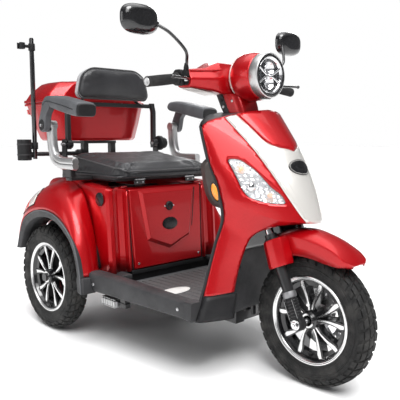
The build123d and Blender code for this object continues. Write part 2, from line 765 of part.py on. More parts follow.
with BuildPart() as fork_lowers:
    for side in (-1, 1):
        with BuildSketch(leg_plane(COLLAR, side)):
            Circle(LEG_RADIUS)
        extrude(amount=LEG_TOP - COLLAR)
        with BuildSketch(leg_plane(COLLAR, side)):
            Circle(21)
        extrude(amount=9)
        with BuildSketch(leg_plane(AXLE_BELOW, side)):
            Circle(16)
        extrude(amount=COLLAR - AXLE_BELOW)
        lug = sorted((side * 60, side * 92.5))
        add(rod((lug[0], *front_centre[1:]), (lug[1], *front_centre[1:]), 20))
        with BuildSketch(leg_plane(BORE_FOOT, side)):
            Circle(STANCHION_RADIUS + RUNNING_CLEARANCE)
        extrude(amount=LEG_TOP - BORE_FOOT + 1, mode=Mode.SUBTRACT)
    add(rod((-95, *front_centre[1:]), (95, *front_centre[1:]), FRONT_AXLE_RADIUS), mode=Mode.SUBTRACT)
save(fork_lowers.part, "fork_lowers")

with BuildPart() as front_axle:
    add(rod((-94, *front_centre[1:]), (94, *front_centre[1:]), FRONT_AXLE_RADIUS))
    for side in (-1, 1):
        add(rod((side * 92.5, *front_centre[1:]), (side * 100, *front_centre[1:]), 13))
save(front_axle.part, "front_axle")

with BuildPart() as brake_caliper:
    add(side_block([(52, 232), (92, 232), (104, 272), (60, 282)], 33, 55))
    add(rod((36, *front_centre[1:]), (43.5, *front_centre[1:]), 95), mode=Mode.SUBTRACT)
save(brake_caliper.part, "brake_caliper")

# The fender's arch is centred behind and above the axle, so it comes down to the tyre in front.
FENDER_CENTRE = (0, aft(30), AXLE_Z + 30)
FENDER_FRONT = -48.0
FENDER_REAR = 31.0
FENDER_HALF_WIDTH = 54.0
FENDER_CROWN = 243.0
FENDER_SHOULDER = 222.0
FENDER_EDGE = 182.0
FENDER_WALL = 3.0
with BuildPart() as front_fender:
    for side in (-1, 1):
        with BuildSketch(steer_plane(POD_ALONG[0], -FORK_OFFSET, side * 76)):
            RectangleRounded(50, 70, 20)
        extrude(amount=POD_ALONG[1] - POD_ALONG[0])
        with BuildSketch(leg_plane(POD_ALONG[0] - 5, side)):
            Circle(LEG_RADIUS + 0.4)
        extrude(amount=140, mode=Mode.SUBTRACT)
    inside = FENDER_HALF_WIDTH - FENDER_WALL
    add(rod((-inside, *front_centre[1:]), (inside, *front_centre[1:]), 255), mode=Mode.SUBTRACT)
    swing = radians(FENDER_REAR)
    with BuildSketch(Plane(origin=FENDER_CENTRE, x_dir=(1, 0, 0), z_dir=(0, -cos(swing), sin(swing)))):
        with BuildLine():
            Polyline(
                (inside, FENDER_SHOULDER - 1),
                (inside, FENDER_EDGE),
                (FENDER_HALF_WIDTH, FENDER_EDGE),
                (FENDER_HALF_WIDTH, FENDER_SHOULDER),
            )
            ThreePointArc(
                (FENDER_HALF_WIDTH, FENDER_SHOULDER), (0, FENDER_CROWN),
                (-FENDER_HALF_WIDTH, FENDER_SHOULDER),
            )
            Polyline(
                (-FENDER_HALF_WIDTH, FENDER_SHOULDER),
                (-FENDER_HALF_WIDTH, FENDER_EDGE),
                (-inside, FENDER_EDGE),
                (-inside, FENDER_SHOULDER - 1),
            )
            ThreePointArc(
                (-inside, FENDER_SHOULDER - 1), (0, FENDER_CROWN - FENDER_WALL),
                (inside, FENDER_SHOULDER - 1),
            )
        make_face()
    revolve(axis=wheel_axis(FENDER_CENTRE), revolution_arc=FENDER_REAR - FENDER_FRONT)
    add(side_block([(-190, 380), (-120, 380), (-185, 330), (-190, 330)], -60, 60), mode=Mode.SUBTRACT)
save(front_fender.part, "front_fender")

# ---------------------------------------------------------------- handlebar
BAR_MIDDLE = (150.0, 380.0, 944.0)
BAR_END = (345.0, 370.0, 917.0)
HOUSING_X = (201.5, 218.5)
LEVER_PIVOT = (210.0, 345.0)
LEVER_Z = (926.5, 936.0)
LEVER_TIP = (300.0, 305.0)
LEVER_PIN_RADIUS = 3.0
MIRROR_FOOT_Z = 964.0


def bar_point(share, side=1):
    """Point on the sloping end of the handlebar; 0 is its bend and 1 its tip."""
    x, distance, z = (a + (b - a) * share for a, b in zip(BAR_MIDDLE, BAR_END))
    return (side * x, aft(distance), z)


def bar_share(x):
    """Share of the sloping end at which the handlebar reaches this x."""
    return (x - BAR_MIDDLE[0]) / (BAR_END[0] - BAR_MIDDLE[0])


with BuildPart() as handlebar:
    with BuildLine() as bar_route:
        FilletPolyline(bar_point(1, -1), bar_point(0, -1), bar_point(0), bar_point(1), radius=60)
    with BuildSketch(Plane(origin=bar_point(1, -1), z_dir=bar_route.line % 0)):
        Circle(BAR_RADIUS)
    sweep()
    with BuildSketch(STEER.offset(steer_height(866))):
        Circle(STEERER_RADIUS + 7)
    extrude(amount=steer_height(946) - steer_height(866))
    with BuildSketch(STEER.offset(steer_height(860))):
        Circle(STEERER_RADIUS)
    extrude(amount=785 - steer_height(860), mode=Mode.SUBTRACT)
save(handlebar.part, "handlebar")


def build_grip(side, bore):
    """Grip on one end of the handlebar, with a raised collar and a closed end."""
    start = bar_point(bar_share(223), side)
    end = bar_point(1.01, side)
    collar = bar_point(bar_share(228), side)
    with BuildPart() as grip:
        add(rod(start, end, GRIP_RADIUS))
        add(rod(start, collar, GRIP_RADIUS + 4))
        add(rod(bar_point(bar_share(215), side), bar_point(1.002, side), bore), mode=Mode.SUBTRACT)
    return grip.part


save(build_grip(1, BAR_RADIUS), "left_grip")
save(build_grip(-1, BAR_RADIUS + RUNNING_CLEARANCE), "throttle_grip")

HORN_AT = (210.0, 952.0)
with BuildPart() as housing:
    add(cuboid(HOUSING_X, (357, 398), (914, 962)))
    add(cuboid(HOUSING_X, (336, 358), (LEVER_Z[1] + 0.5, 947)))
    pivot = (LEVER_PIVOT[0], aft(LEVER_PIVOT[1]))
    add(rod((*pivot, LEVER_Z[0] - 3), (*pivot, 940), LEVER_PIN_RADIUS))
    add(rod((*pivot, 944), (*pivot, MIRROR_FOOT_Z), 8))
    add(rod(bar_point(bar_share(190)), bar_point(bar_share(230)), BAR_RADIUS), mode=Mode.SUBTRACT)
with BuildPart() as switch_housings:
    for box in both_sides(housing.part):
        add(box)
    with BuildSketch(Plane.XZ.offset(-aft(390))):
        with Locations(HORN_AT):
            Circle(5.05)
    extrude(amount=-12, mode=Mode.SUBTRACT)
save(switch_housings.part, "switch_housings")

with BuildPart() as horn_button:
    with BuildSketch(Plane.XZ.offset(-aft(394))):
        with Locations(HORN_AT):
            Circle(5)
    extrude(amount=-7)
save(horn_button.part, "horn_button")


def build_lever():
    """Left brake lever: a tapered blade with a ball end and a ring round its pin."""
    reach = (LEVER_TIP[0] - LEVER_PIVOT[0], LEVER_TIP[1] - LEVER_PIVOT[1])
    with BuildPart() as lever:
        with BuildSketch(Plane(origin=(LEVER_PIVOT[0], aft(LEVER_PIVOT[1]), LEVER_Z[0]))):
            Circle(8)
            Polygon((-2, 7.5), (4, -8), (reach[0], reach[1] - 4), (reach[0], reach[1] + 4), align=None)
            with Locations(reach):
                Circle(6)
            Circle(LEVER_PIN_RADIUS + RUNNING_CLEARANCE, mode=Mode.SUBTRACT)
        extrude(amount=LEVER_Z[1] - LEVER_Z[0])
    return lever.part


for lever, name in zip(both_sides(build_lever()), ("left", "right")):
    save(lever, f"{name}_brake_lever")

MIRROR_CENTRE = (350.0, 390.0, 1100.0)
with BuildPart() as mirror_arm:
    with BuildSketch(Plane.XZ.offset(-aft(368))):
        with Locations((MIRROR_CENTRE[0], MIRROR_CENTRE[2])):
            Ellipse(67, 44)
    extrude(amount=-34)
    fillet(edges().group_by(Axis.Y)[0], 12)
    foot = (LEVER_PIVOT[0], aft(LEVER_PIVOT[1]), MIRROR_FOOT_Z + 0.3)
    add(rod(foot, (*foot[:2], 976), 7))
    stem = [
        (*foot[:2], 970), (212, aft(340), 985), (234, aft(322), 1014), (268, aft(352), 1064),
        (300, aft(382), 1090),
    ]
    with BuildLine() as stem_route:
        FilletPolyline(*stem, radius=9)
    with BuildSketch(Plane(origin=stem[0], z_dir=stem_route.line % 0)):
        Circle(4.5)
    sweep()
    with BuildSketch(Plane.XZ.offset(-aft(398))):
        with Locations((MIRROR_CENTRE[0], MIRROR_CENTRE[2])):
            Ellipse(62, 39)
    extrude(amount=-6, mode=Mode.SUBTRACT)
with BuildPart() as mirror_glass:
    with BuildSketch(Plane.XZ.offset(-aft(398))):
        with Locations((MIRROR_CENTRE[0], MIRROR_CENTRE[2])):
            Ellipse(61.5, 38.5)
    extrude(amount=-3)
for arm, glass, name in zip(both_sides(mirror_arm.part), both_sides(mirror_glass.part), ("left", "right")):
    save(arm, f"{name}_mirror")
    save(glass, f"{name}_mirror_glass")

# ---------------------------------------------------------------- handlebar covers
with BuildPart() as stem_cover:
    with BuildSketch(STEER.offset(steer_height(798))):
        Circle(COLUMN_COVER_RADIUS)
        Circle(COLUMN_COVER_RADIUS - 3, mode=Mode.SUBTRACT)
    extrude(amount=steer_height(853) - steer_height(798))
save(stem_cover.part, "stem_cover")

LAMP_Z = 945.0
COVER_SPLIT_Z = 932.0  # below this the handlebar cover's outline faces down
COVER_WING = [(338, 906), (330, 934), (358, 966), (399, 962), (399, 908)]
COVER_MIDDLE = [(310, 890), (304, 940), (326, 990), (399, 990), (399, 892)]


def cover_loft(wall):
    """Handlebar cover from tip to tip, drawn in by this wall and then open at the back."""
    with BuildPart() as shape:
        sections = []
        for x, points in ((-199, COVER_WING), (-82, COVER_MIDDLE), (82, COVER_MIDDLE), (199, COVER_WING)):
            inner = [(d + wall, z + (wall if z < COVER_SPLIT_Z else -wall)) for d, z in points]
            tip = (x > 100) - (x < -100)
            with BuildSketch(Plane.YZ.offset(x - wall * tip)) as section:
                Polygon(*points_aft(inner), align=None)
            sections.append(section.sketch)
        loft(sections, ruled=True)
    return shape.part


with BuildPart() as handlebar_cover:
    add(cover_loft(0))
    add(rod((0, aft(206), LAMP_Z), (0, aft(320), LAMP_Z), 70))
    add(cover_loft(WALL), mode=Mode.SUBTRACT)
    add(rod((0, aft(200), LAMP_Z), (0, aft(330), LAMP_Z), 66), mode=Mode.SUBTRACT)
    for side in (-1, 1):
        add(rod(bar_point(bar_share(170), side), bar_point(bar_share(230), side), 13), mode=Mode.SUBTRACT)
    with BuildSketch(STEER.offset(steer_height(840))):
        Circle(STEERER_RADIUS + 9)
    extrude(amount=90, mode=Mode.SUBTRACT)
save(handlebar_cover.part, "handlebar_cover")

KEY_AT = (-55.0, 930.0)
with BuildPart() as dash_cover:
    add(
        front_block(
            mirrored([(0, 988), (82, 988), (196, 962), (196, 910), (82, 892), (0, 892)]),
            399.5,
            406,
        ),
    )
    add(front_block(mirrored([(0, 982), (40, 982), (52, 966), (52, 912), (0, 912)]), 405, 414))
    with BuildSketch(Plane.XZ.offset(-aft(390))):
        with Locations(KEY_AT):
            Circle(8.05)
    extrude(amount=-40, mode=Mode.SUBTRACT)
save(dash_cover.part, "dash_cover")

with BuildPart() as ignition_key:
    with BuildSketch(Plane.XZ.offset(-aft(401))):
        with Locations(KEY_AT):
            Circle(8)
    extrude(amount=-14)
    add(cuboid((KEY_AT[0] - 1.5, KEY_AT[0] + 1.5), (414, 440), (KEY_AT[1] - 11, KEY_AT[1] + 11)))
save(ignition_key.part, "ignition_key")

with BuildPart() as headlight_ring:
    add(rod((0, aft(180), LAMP_Z), (0, aft(205.5), LAMP_Z), 69))
    add(rod((0, aft(170), LAMP_Z), (0, aft(210), LAMP_Z), 60.5), mode=Mode.SUBTRACT)
save(headlight_ring.part, "headlight_ring")

with BuildPart() as headlight_lens:
    add(rod((0, aft(184), LAMP_Z), (0, aft(203), LAMP_Z), 60))
    chamfer(edges().filter_by(GeomType.CIRCLE).sort_by(Axis.Y)[:1], 4)
save(headlight_lens.part, "headlight_lens")

# ---------------------------------------------------------------- seat
SEAT_FRONT = 682.0
SEAT_BACK = 1034.0
with BuildPart() as seat_base:
    add(cuboid((-228, 228), (700, 1050), (PAN_Z, PAN_Z + PAN_THICKNESS)))
    for side in (-1, 1):
        tab = sorted((side * 220, side * (ARM_TUBE_X + 12)))
        add(cuboid(tab, (856, 904), (PAN_Z, PAN_Z + PAN_THICKNESS)))
        plate = sorted((side * 227.5, side * 235.5))
        add(cuboid(sorted((side * 200, side * 235.5)), (1026, 1062), (PAN_Z, PAN_Z + PAN_THICKNESS)))
        add(cuboid(plate, (1030, 1062), (PAN_Z, 742)))
        pivot = (aft(RECLINE_PIVOT[0]), RECLINE_PIVOT[1])
        add(rod((side * 204, *pivot), (side * 252, *pivot), ARM_PIN_RADIUS))
        hinge = (aft(SEAT_HINGE[0]), SEAT_HINGE[1])
        add(rod((side * 106, *hinge), (side * 144, *hinge), 9))
        slot = sorted((side * 144.5, side * 153))
        add(cuboid(slot, (698, 722), (PAN_Z - 2, PAN_Z + PAN_THICKNESS + 2)), mode=Mode.SUBTRACT)
        hole = SEAT_PIN_RADIUS + RUNNING_CLEARANCE
        add(rod((side * 100, *hinge), (side * 150, *hinge), hole), mode=Mode.SUBTRACT)
save(seat_base.part, "seat_base")

with BuildPart() as seat_cushion:
    cushion = [
        (SEAT_FRONT, 606.5), (SEAT_FRONT, 642), (706, 656), (860, 672), (1010, 692),
        (SEAT_BACK, 684), (SEAT_BACK, 606.5),
    ]
    add(side_block(cushion, -SEAT_HALF_WIDTH, SEAT_HALF_WIDTH))
    fillet(edges().filter_by(Axis.Z), 30)
save(seat_cushion.part, "seat_cushion")

with BuildPart() as arm_tube:
    low = ARM_TUBE_X - ARM_TUBE_WIDTH / 2
    outline = [
        (846, 629), (955, 629), (1010, 655), (1030, 720), (1036, 795), (1013, 814), (990, 795),
        (984, 730), (968, 692), (938, 677), (846, 677),
    ]
    add(side_block(outline, low, low + ARM_TUBE_WIDTH))
    fillet(edges().filter_by(Axis.X), 8)
    add(cuboid((ARM_TUBE_X - 12, ARM_TUBE_X + 12), (862, 898), (PAN_Z + PAN_THICKNESS, 635)))
    pivot = (aft(ARM_PIVOT[0]), ARM_PIVOT[1])
    add(rod((ARM_TUBE_X, *pivot), (352, *pivot), ARM_PIN_RADIUS))
with BuildPart() as arm_tubes:
    for tube in both_sides(arm_tube.part):
        add(tube)
save(arm_tubes.part, "arm_tubes")

with BuildPart() as armrest:
    outline = [
        (990, 800), (1004, 776), (1030, 776), (1040, 800), (1018, 850), (998, 906), (905, 902),
        (780, 872), (752, 858), (756, 826), (800, 832), (930, 852),
    ]
    add(side_block(outline, 319.8, 346))
    add(
        side_block(
            [
                (1006, 872), (998, 906), (905, 902), (780, 872), (752, 858), (756, 826),
                (800, 832), (930, 852), (986, 866),
            ],
            258,
            330,
        ),
    )
    pivot = (aft(ARM_PIVOT[0]), ARM_PIVOT[1])
    hole = ARM_PIN_RADIUS + RUNNING_CLEARANCE
    add(rod((310, *pivot), (360, *pivot), hole), mode=Mode.SUBTRACT)
for rest, name in zip(both_sides(armrest.part), ("left", "right")):
    save(rest, f"{name}_armrest")

# ---------------------------------------------------------------- backrest
with BuildPart() as backrest_frame:
    for side in (-1, 1):
        post = sorted((side * 207, side * 225))
        add(cuboid(post, (1031, 1055), (706, 886)))
    add(cuboid((-225, 225), (1055, 1067), (872, 896)))
    for side in (-1, 1):
        add(cuboid(sorted((side * 207, side * 225)), (1050, 1067), (860, 896)))
    add(front_block(mirrored([(0, 1012), (120, 1012), (160, 980), (168, 890), (0, 890)]), 1056, 1068))
    for side in (-1, 1):
        pivot = (side * 203, aft(RECLINE_PIVOT[0]), RECLINE_PIVOT[1])
        add(rod(pivot, (side * 227, *pivot[1:]), ARM_PIN_RADIUS + RUNNING_CLEARANCE), mode=Mode.SUBTRACT)
save(backrest_frame.part, "backrest_frame")

with BuildPart() as backrest_pad:
    add(
        front_block(
            mirrored([(0, 1030), (118, 1030), (160, 1000), (175, 925), (160, 906), (0, 904)]),
            1010,
            1055,
        ),
    )
    fillet(edges().filter_by(Axis.Y), 12)
save(backrest_pad.part, "backrest_pad")

with BuildPart() as recline_knob:
    pivot = (aft(RECLINE_PIVOT[0]), RECLINE_PIVOT[1])
    add(rod((236, *pivot), (262, *pivot), 24))
    add(rod((261, *pivot), (276, *pivot), 19))
    add(rod((230, *pivot), (253, *pivot), ARM_PIN_RADIUS + RUNNING_CLEARANCE), mode=Mode.SUBTRACT)
save(recline_knob.part, "recline_knob")

# ---------------------------------------------------------------- folding foot peg
with BuildPart() as foot_peg:
    add(cuboid((PEG_PIVOT[0] - 12, PEG_PIVOT[0] + 12), (610, 652), (152, 170)))
    add(cuboid((PEG_PIVOT[0] - 19, PEG_PIVOT[0] + 19), (652, 742), (148, 172)))
    for place in range(660, 740, 14):
        add(cuboid((PEG_PIVOT[0] - 24, PEG_PIVOT[0] + 24), (place, place + 6), (144, 175)))
    pivot = (PEG_PIVOT[0], aft(PEG_PIVOT[1]))
    add(rod((*pivot, 140), (*pivot, 180), PEG_PIN_RADIUS + RUNNING_CLEARANCE), mode=Mode.SUBTRACT)
save(foot_peg.part, "foot_peg")
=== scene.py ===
"""Looks of the three-wheeled mobility scooter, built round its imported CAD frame."""

import math
import random

import bmesh
import bpy
import numpy as np
from mathutils import Matrix, Vector, geometry


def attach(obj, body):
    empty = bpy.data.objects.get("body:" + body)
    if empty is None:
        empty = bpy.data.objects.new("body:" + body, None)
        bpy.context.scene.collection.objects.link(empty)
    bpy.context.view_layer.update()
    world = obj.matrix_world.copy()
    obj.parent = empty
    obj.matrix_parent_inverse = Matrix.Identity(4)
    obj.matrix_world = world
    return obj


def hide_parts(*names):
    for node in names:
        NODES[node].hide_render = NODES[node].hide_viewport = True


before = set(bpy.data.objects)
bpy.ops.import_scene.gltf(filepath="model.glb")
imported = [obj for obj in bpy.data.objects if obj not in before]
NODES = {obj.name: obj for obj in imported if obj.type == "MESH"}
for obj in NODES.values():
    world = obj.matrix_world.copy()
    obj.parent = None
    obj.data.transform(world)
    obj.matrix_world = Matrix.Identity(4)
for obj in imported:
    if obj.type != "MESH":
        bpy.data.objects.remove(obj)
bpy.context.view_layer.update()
SIDES = ((-1, "right"), (1, "left"))


FRONT_AXLE_Y = -0.5975


def aft(distance):
    """Y of a place this far behind the front axle, in metres."""
    return distance + FRONT_AXLE_Y


# ---------------------------------------------------------------- camera and stage
camera = bpy.data.cameras.new("camera")
camera.sensor_width = 36
camera.lens = 52.09
viewer = bpy.data.objects.new("camera", camera)
viewer.location = (-1.4237, -1.6043, 0.7646)
viewer.rotation_euler = (math.radians(83.439), 0, math.radians(-43.26))
bpy.context.scene.collection.objects.link(viewer)
bpy.context.scene.camera = viewer


# ---------------------------------------------------------------- materials
class Shader:
    """One node material, with its Principled shader and a few ready-made layers."""

    def __init__(self, name, colour, rough, metallic=0.0, **sockets):
        self.material = bpy.data.materials.new(name)
        self.material.use_nodes = True
        self.nodes = self.material.node_tree.nodes
        self.links = self.material.node_tree.links
        self.main = self.nodes["Principled BSDF"]
        self.colour = (*colour, 1)
        self.rough = rough
        self.height = None
        self.set("Base Color", self.colour)
        self.set("Roughness", rough)
        self.set("Metallic", metallic)
        for socket, value in sockets.items():
            self.set(socket.replace("_", " "), value)

    def set(self, socket, value):
        self.main.inputs[socket].default_value = value

    def node(self, kind, **inputs):
        made = self.nodes.new(kind)
        for socket, value in inputs.items():
            socket = socket.replace("_", " ")
            if hasattr(value, "is_output"):
                self.links.new(value, made.inputs[socket])
            else:
                made.inputs[socket].default_value = value
        return made

    def place(self):
        return self.node("ShaderNodeTexCoord").outputs["Object"]

    def noise(self, scale, detail=3.0):
        return self.node("ShaderNodeTexNoise", Vector=self.place(), Scale=scale,
            Detail=detail).outputs["Fac"]

    def cells(self, scale, feature="F1"):
        made = self.node("ShaderNodeTexVoronoi", Vector=self.place(), Scale=scale)
        made.feature = feature
        return made.outputs["Distance"]

    def remap(self, value, low, high, to_low=0.0, to_high=1.0):
        made = self.nodes.new("ShaderNodeMapRange")
        self.links.new(value, made.inputs["Value"])
        for socket, number in zip(("From Min", "From Max", "To Min", "To Max"),
                (low, high, to_low, to_high)):
            made.inputs[socket].default_value = number
        return made.outputs["Result"]

    def vary(self, value, other, low=0.35, high=0.65):
        """Second colour where the pattern is high."""
        mix = self.nodes.new("ShaderNodeMix")
        mix.data_type = "RGBA"
        self.links.new(self.remap(value, low, high), mix.inputs["Factor"])
        mix.inputs["A"].default_value = self.colour
        mix.inputs["B"].default_value = (*other, 1)
        self.links.new(mix.outputs["Result"], self.main.inputs["Base Color"])
        return self

    def worn(self, value, spread, low=0.3, high=0.7):
        """Roughness that follows the pattern."""
        self.links.new(self.remap(value, low, high, self.rough - spread, self.rough + spread),
            self.main.inputs["Roughness"])
        return self

    def bump(self, value, strength, depth=0.001):
        made = self.node("ShaderNodeBump", Height=value, Strength=strength, Distance=depth)
        if self.height is not None:
            self.links.new(self.height, made.inputs["Normal"])
        self.height = made.outputs["Normal"]
        self.links.new(self.height, self.main.inputs["Normal"])
        return self


def paint(name, colour, deep, metallic, rough):
    """Lacquer over metal flake: sparkle under a clear coat with a trace of orange peel."""
    made = Shader(name, colour, rough, metallic, Coat_Weight=0.45, Coat_Roughness=0.03, Coat_IOR=1.4)
    made.vary(made.cells(2600), deep, 0.2, 0.9)
    made.worn(made.noise(900), 0.05)
    made.bump(made.noise(38, 1), 0.05, 0.0004)
    return made.material


def moulding(name, colour, rough=0.55, grain=1500, relief=0.35):
    """Plastic with a fine moulded grain and faint scuffs."""
    made = Shader(name, colour, rough, Specular_IOR_Level=0.3)
    made.vary(made.noise(14), tuple(min(1, c * 1.35 + 0.004) for c in colour), 0.4, 0.75)
    made.worn(made.noise(60), 0.08)
    made.bump(made.cells(grain), relief, 0.0003)
    return made.material


def metal(name, colour, rough, grain=220, relief=0.05, **sockets):
    """Bare or plated metal with faint handling marks."""
    made = Shader(name, colour, rough, 1.0, **sockets)
    made.worn(made.noise(grain, 6), min(0.08, rough * 0.6))
    made.bump(made.noise(grain * 3, 2), relief, 0.0002)
    return made.material


def lens(name, colour, alpha, facet=0.0):
    """Thin clear or coloured plastic."""
    made = Shader(name, colour, 0.05, Alpha=alpha, Coat_Weight=1.0, Coat_Roughness=0.02,
        Specular_IOR_Level=0.8)
    made.material.surface_render_method = "DITHERED"
    made.worn(made.noise(80), 0.03)
    if facet:
        made.bump(made.cells(facet), 0.6, 0.002)
    return made.material


def turned_metal(name, colour, rough):
    """Machined aluminium with fine tool lines round the wheel's axis."""
    made = Shader(name, colour, rough, 1.0)
    lines = made.node("ShaderNodeTexWave", Vector=made.place(), Scale=420, Distortion=0.6, Detail=2)
    lines.wave_type = "RINGS"
    lines.rings_direction = "X"
    made.bump(lines.outputs["Fac"], 0.08, 0.0002)
    made.worn(made.noise(90), 0.06)
    return made.material


def leather(name, colour):
    """Soft black seat cover: pebble grain over faint creases."""
    made = Shader(name, colour, 0.42, Sheen_Weight=0.12, Sheen_Roughness=0.4, Specular_IOR_Level=0.55)
    made.vary(made.noise(9), tuple(c * 1.6 + 0.004 for c in colour), 0.35, 0.8)
    made.worn(made.noise(35), 0.09)
    made.bump(made.noise(42, 2), 0.16, 0.003)
    made.bump(made.cells(780), 0.4, 0.0006)
    return made.material


def tread_rubber(name, colour):
    made = Shader(name, colour, 0.72, Specular_IOR_Level=0.35)
    made.vary(made.noise(24, 6), (0.055, 0.053, 0.05), 0.45, 0.85)
    made.worn(made.noise(120), 0.12)
    made.bump(made.noise(700, 4), 0.25, 0.0005)
    return made.material


def mat_rubber(name, colour):
    """Floor covering with a woven-looking rubber print."""
    made = Shader(name, colour, 0.6)
    weave = made.node("ShaderNodeTexBrick", Vector=made.place(), Scale=55, Mortar_Size=0.03)
    made.bump(weave.outputs["Fac"], 0.5, 0.001)
    made.vary(weave.outputs["Fac"], tuple(c * 0.45 for c in colour), 0.1, 0.9)
    made.worn(made.noise(60), 0.08)
    return made.material


RED = paint("red_lacquer", (0.56, 0.0015, 0.006), (0.36, 0.001, 0.004), 0.42, 0.3)
SILVER = paint("silver_lacquer", (0.80, 0.78, 0.74), (0.68, 0.66, 0.63), 0.45, 0.34)
BLACK = moulding("black_moulding", (0.011, 0.011, 0.012), 0.5)
GREY = moulding("grey_moulding", (0.032, 0.032, 0.034), 0.5)
ARM_GREY = moulding("armrest_moulding", (0.085, 0.088, 0.094), 0.42)
POD = moulding("pod_moulding", (0.045, 0.037, 0.034), 0.42)
GLOSS_BLACK = Shader("gloss_black", (0.008, 0.008, 0.009), 0.2, Coat_Weight=0.7, Coat_Roughness=0.08)
GLOSS_BLACK = GLOSS_BLACK.worn(GLOSS_BLACK.noise(60), 0.06).material
FRAME_STEEL = Shader("powder_coat", (0.012, 0.012, 0.013), 0.38, Coat_Weight=0.3)
FRAME_STEEL = FRAME_STEEL.bump(FRAME_STEEL.noise(900, 3), 0.2, 0.0003).material
CHROME = metal("chrome", (0.82, 0.82, 0.83), 0.09)
STEEL = metal("brushed_steel", (0.56, 0.56, 0.57), 0.3, 500, 0.12)
SATIN = metal("satin_alloy", (0.60, 0.60, 0.60), 0.42, 120, 0.04, Coat_Weight=0.2, Coat_Roughness=0.3)
CAST = metal("cast_alloy", (0.36, 0.36, 0.37), 0.5, 400, 0.4)
TURNED = turned_metal("machined_alloy", (0.80, 0.80, 0.80), 0.2)
LEATHER = leather("seat_leather", (0.017, 0.017, 0.019))
PIPING = leather("seat_piping", (0.05, 0.05, 0.052))
BACKING = moulding("backrest_backing", (0.42, 0.42, 0.43), 0.5)
TYRE = tread_rubber("tyre_rubber", (0.012, 0.012, 0.012))
GRIP = tread_rubber("grip_rubber", (0.02, 0.02, 0.021))
MAT = mat_rubber("floor_mat", (0.12, 0.118, 0.12))
CLEAR = lens("clear_lens", (0.92, 0.94, 0.96), 0.22)
LAMP_GLASS = lens("headlight_glass", (0.35, 0.37, 0.40), 0.07)
AMBER = lens("amber_lens", (1.0, 0.33, 0.0), 0.94, 420)
TAIL_RED = lens("tail_red_lens", (0.75, 0.03, 0.02), 0.9, 300)
TAIL_CLEAR = lens("tail_clear_lens", (0.85, 0.78, 0.74), 0.85, 300)
MIRROR = metal("mirror_silver", (0.92, 0.93, 0.94), 0.03, 20, 0.0)
DECAL = moulding("plain_badge", (0.01, 0.01, 0.011), 0.25, 900, 0.05)
PALE = moulding("pale_badge", (0.72, 0.72, 0.70), 0.35, 900, 0.05)
BULB = Shader("bulb_amber", (1.0, 0.35, 0.05), 0.2, Coat_Weight=1.0)
BULB = BULB.worn(BULB.noise(50), 0.05).material


# ---------------------------------------------------------------- mesh building
def piece(name, verts, faces, material, body, slot=None, stands=(), bevel=0.0, thick=0.0, levels=0,
        sharp=40, segments=2):
    """Mesh object riding on a body, with its edges rounded, walls thickened or surface smoothed."""
    mesh = bpy.data.meshes.new(name)
    mesh.from_pydata([tuple(v) for v in verts], [], [tuple(f) for f in faces])
    made = bpy.data.objects.new(name, mesh)
    bpy.context.scene.collection.objects.link(made)
    work = bmesh.new()
    work.from_mesh(mesh)
    bmesh.ops.remove_doubles(work, verts=work.verts, dist=1e-6)
    bmesh.ops.recalc_face_normals(work, faces=work.faces)
    work.to_mesh(mesh)
    work.free()
    return finish_piece(made, material, body, stands, bevel, thick, levels, sharp, segments)


def finish_piece(made, material, body, stands=(), bevel=0.0, thick=0.0, levels=0, sharp=40,
        segments=2):
    mesh = made.data
    for one in material if isinstance(material, (list, tuple)) else [material]:
        mesh.materials.append(one)
    mesh.polygons.foreach_set("use_smooth", [True] * len(mesh.polygons))
    if thick:
        wall = made.modifiers.new("wall", "SOLIDIFY")
        wall.thickness = thick
        wall.offset = -1
        wall.use_even_offset = False
    if levels:
        smooth = made.modifiers.new("smooth", "SUBSURF")
        smooth.levels = smooth.render_levels = levels
    if bevel:
        edge = made.modifiers.new("edge", "BEVEL")
        edge.width = bevel
        edge.segments = segments
        edge.limit_method = "ANGLE"
        edge.angle_limit = math.radians(32)
        weighted = made.modifiers.new("normals", "WEIGHTED_NORMAL")
        weighted.keep_sharp = False
    elif sharp and not levels:
        mesh.set_sharp_from_angle(angle=math.radians(sharp))
    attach(made, body)
    if stands:
        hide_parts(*stands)
    return made


def keep(node, material, bevel=0.0012):
    """CAD node that stays, with its own finish and slightly rounded edges."""
    own = NODES[node]
    own.data.materials.clear()
    own.data.materials.append(material)
    if bevel:
        edge = own.modifiers.new("edge", "BEVEL")
        edge.width = bevel
        edge.segments = 2
        edge.limit_method = "ANGLE"
        edge.angle_limit = math.radians(40)
        weighted = own.modifiers.new("normals", "WEIGHTED_NORMAL")
        weighted.keep_sharp = False


def loft(rings, closed=True, caps=True):
    """Quads between rings of equal length."""
    size = len(rings[0])
    verts = [p for ring in rings for p in ring]
    faces = []
    spans = size if closed else size - 1
    for i in range(len(rings) - 1):
        for j in range(spans):
            k = (j + 1) % size
            faces.append((i * size + j, i * size + k, (i + 1) * size + k, (i + 1) * size + j))
    if caps and closed:
        faces.append(tuple(range(size))[::-1])
        faces.append(tuple(range((len(rings) - 1) * size, len(rings) * size)))
    return verts, faces


def merged(*parts):
    """Several (verts, faces) as one."""
    verts, faces = [], []
    for v, f in parts:
        start = len(verts)
        verts += list(v)
        faces += [tuple(i + start for i in face) for face in f]
    return verts, faces


def mirrored(part):
    verts, faces = part
    return [(-x, y, z) for x, y, z in verts], [tuple(reversed(f)) for f in faces]


def moved(part, offset):
    return [tuple(Vector(v) + Vector(offset)) for v in part[0]], part[1]


def turned(part, centre, axis, angle):
    """(verts, faces) turned about a line."""
    spin = Matrix.Translation(centre) @ Matrix.Rotation(angle, 4,
        axis) @ Matrix.Translation(-Vector(centre))
    return [tuple(spin @ Vector(v)) for v in part[0]], part[1]


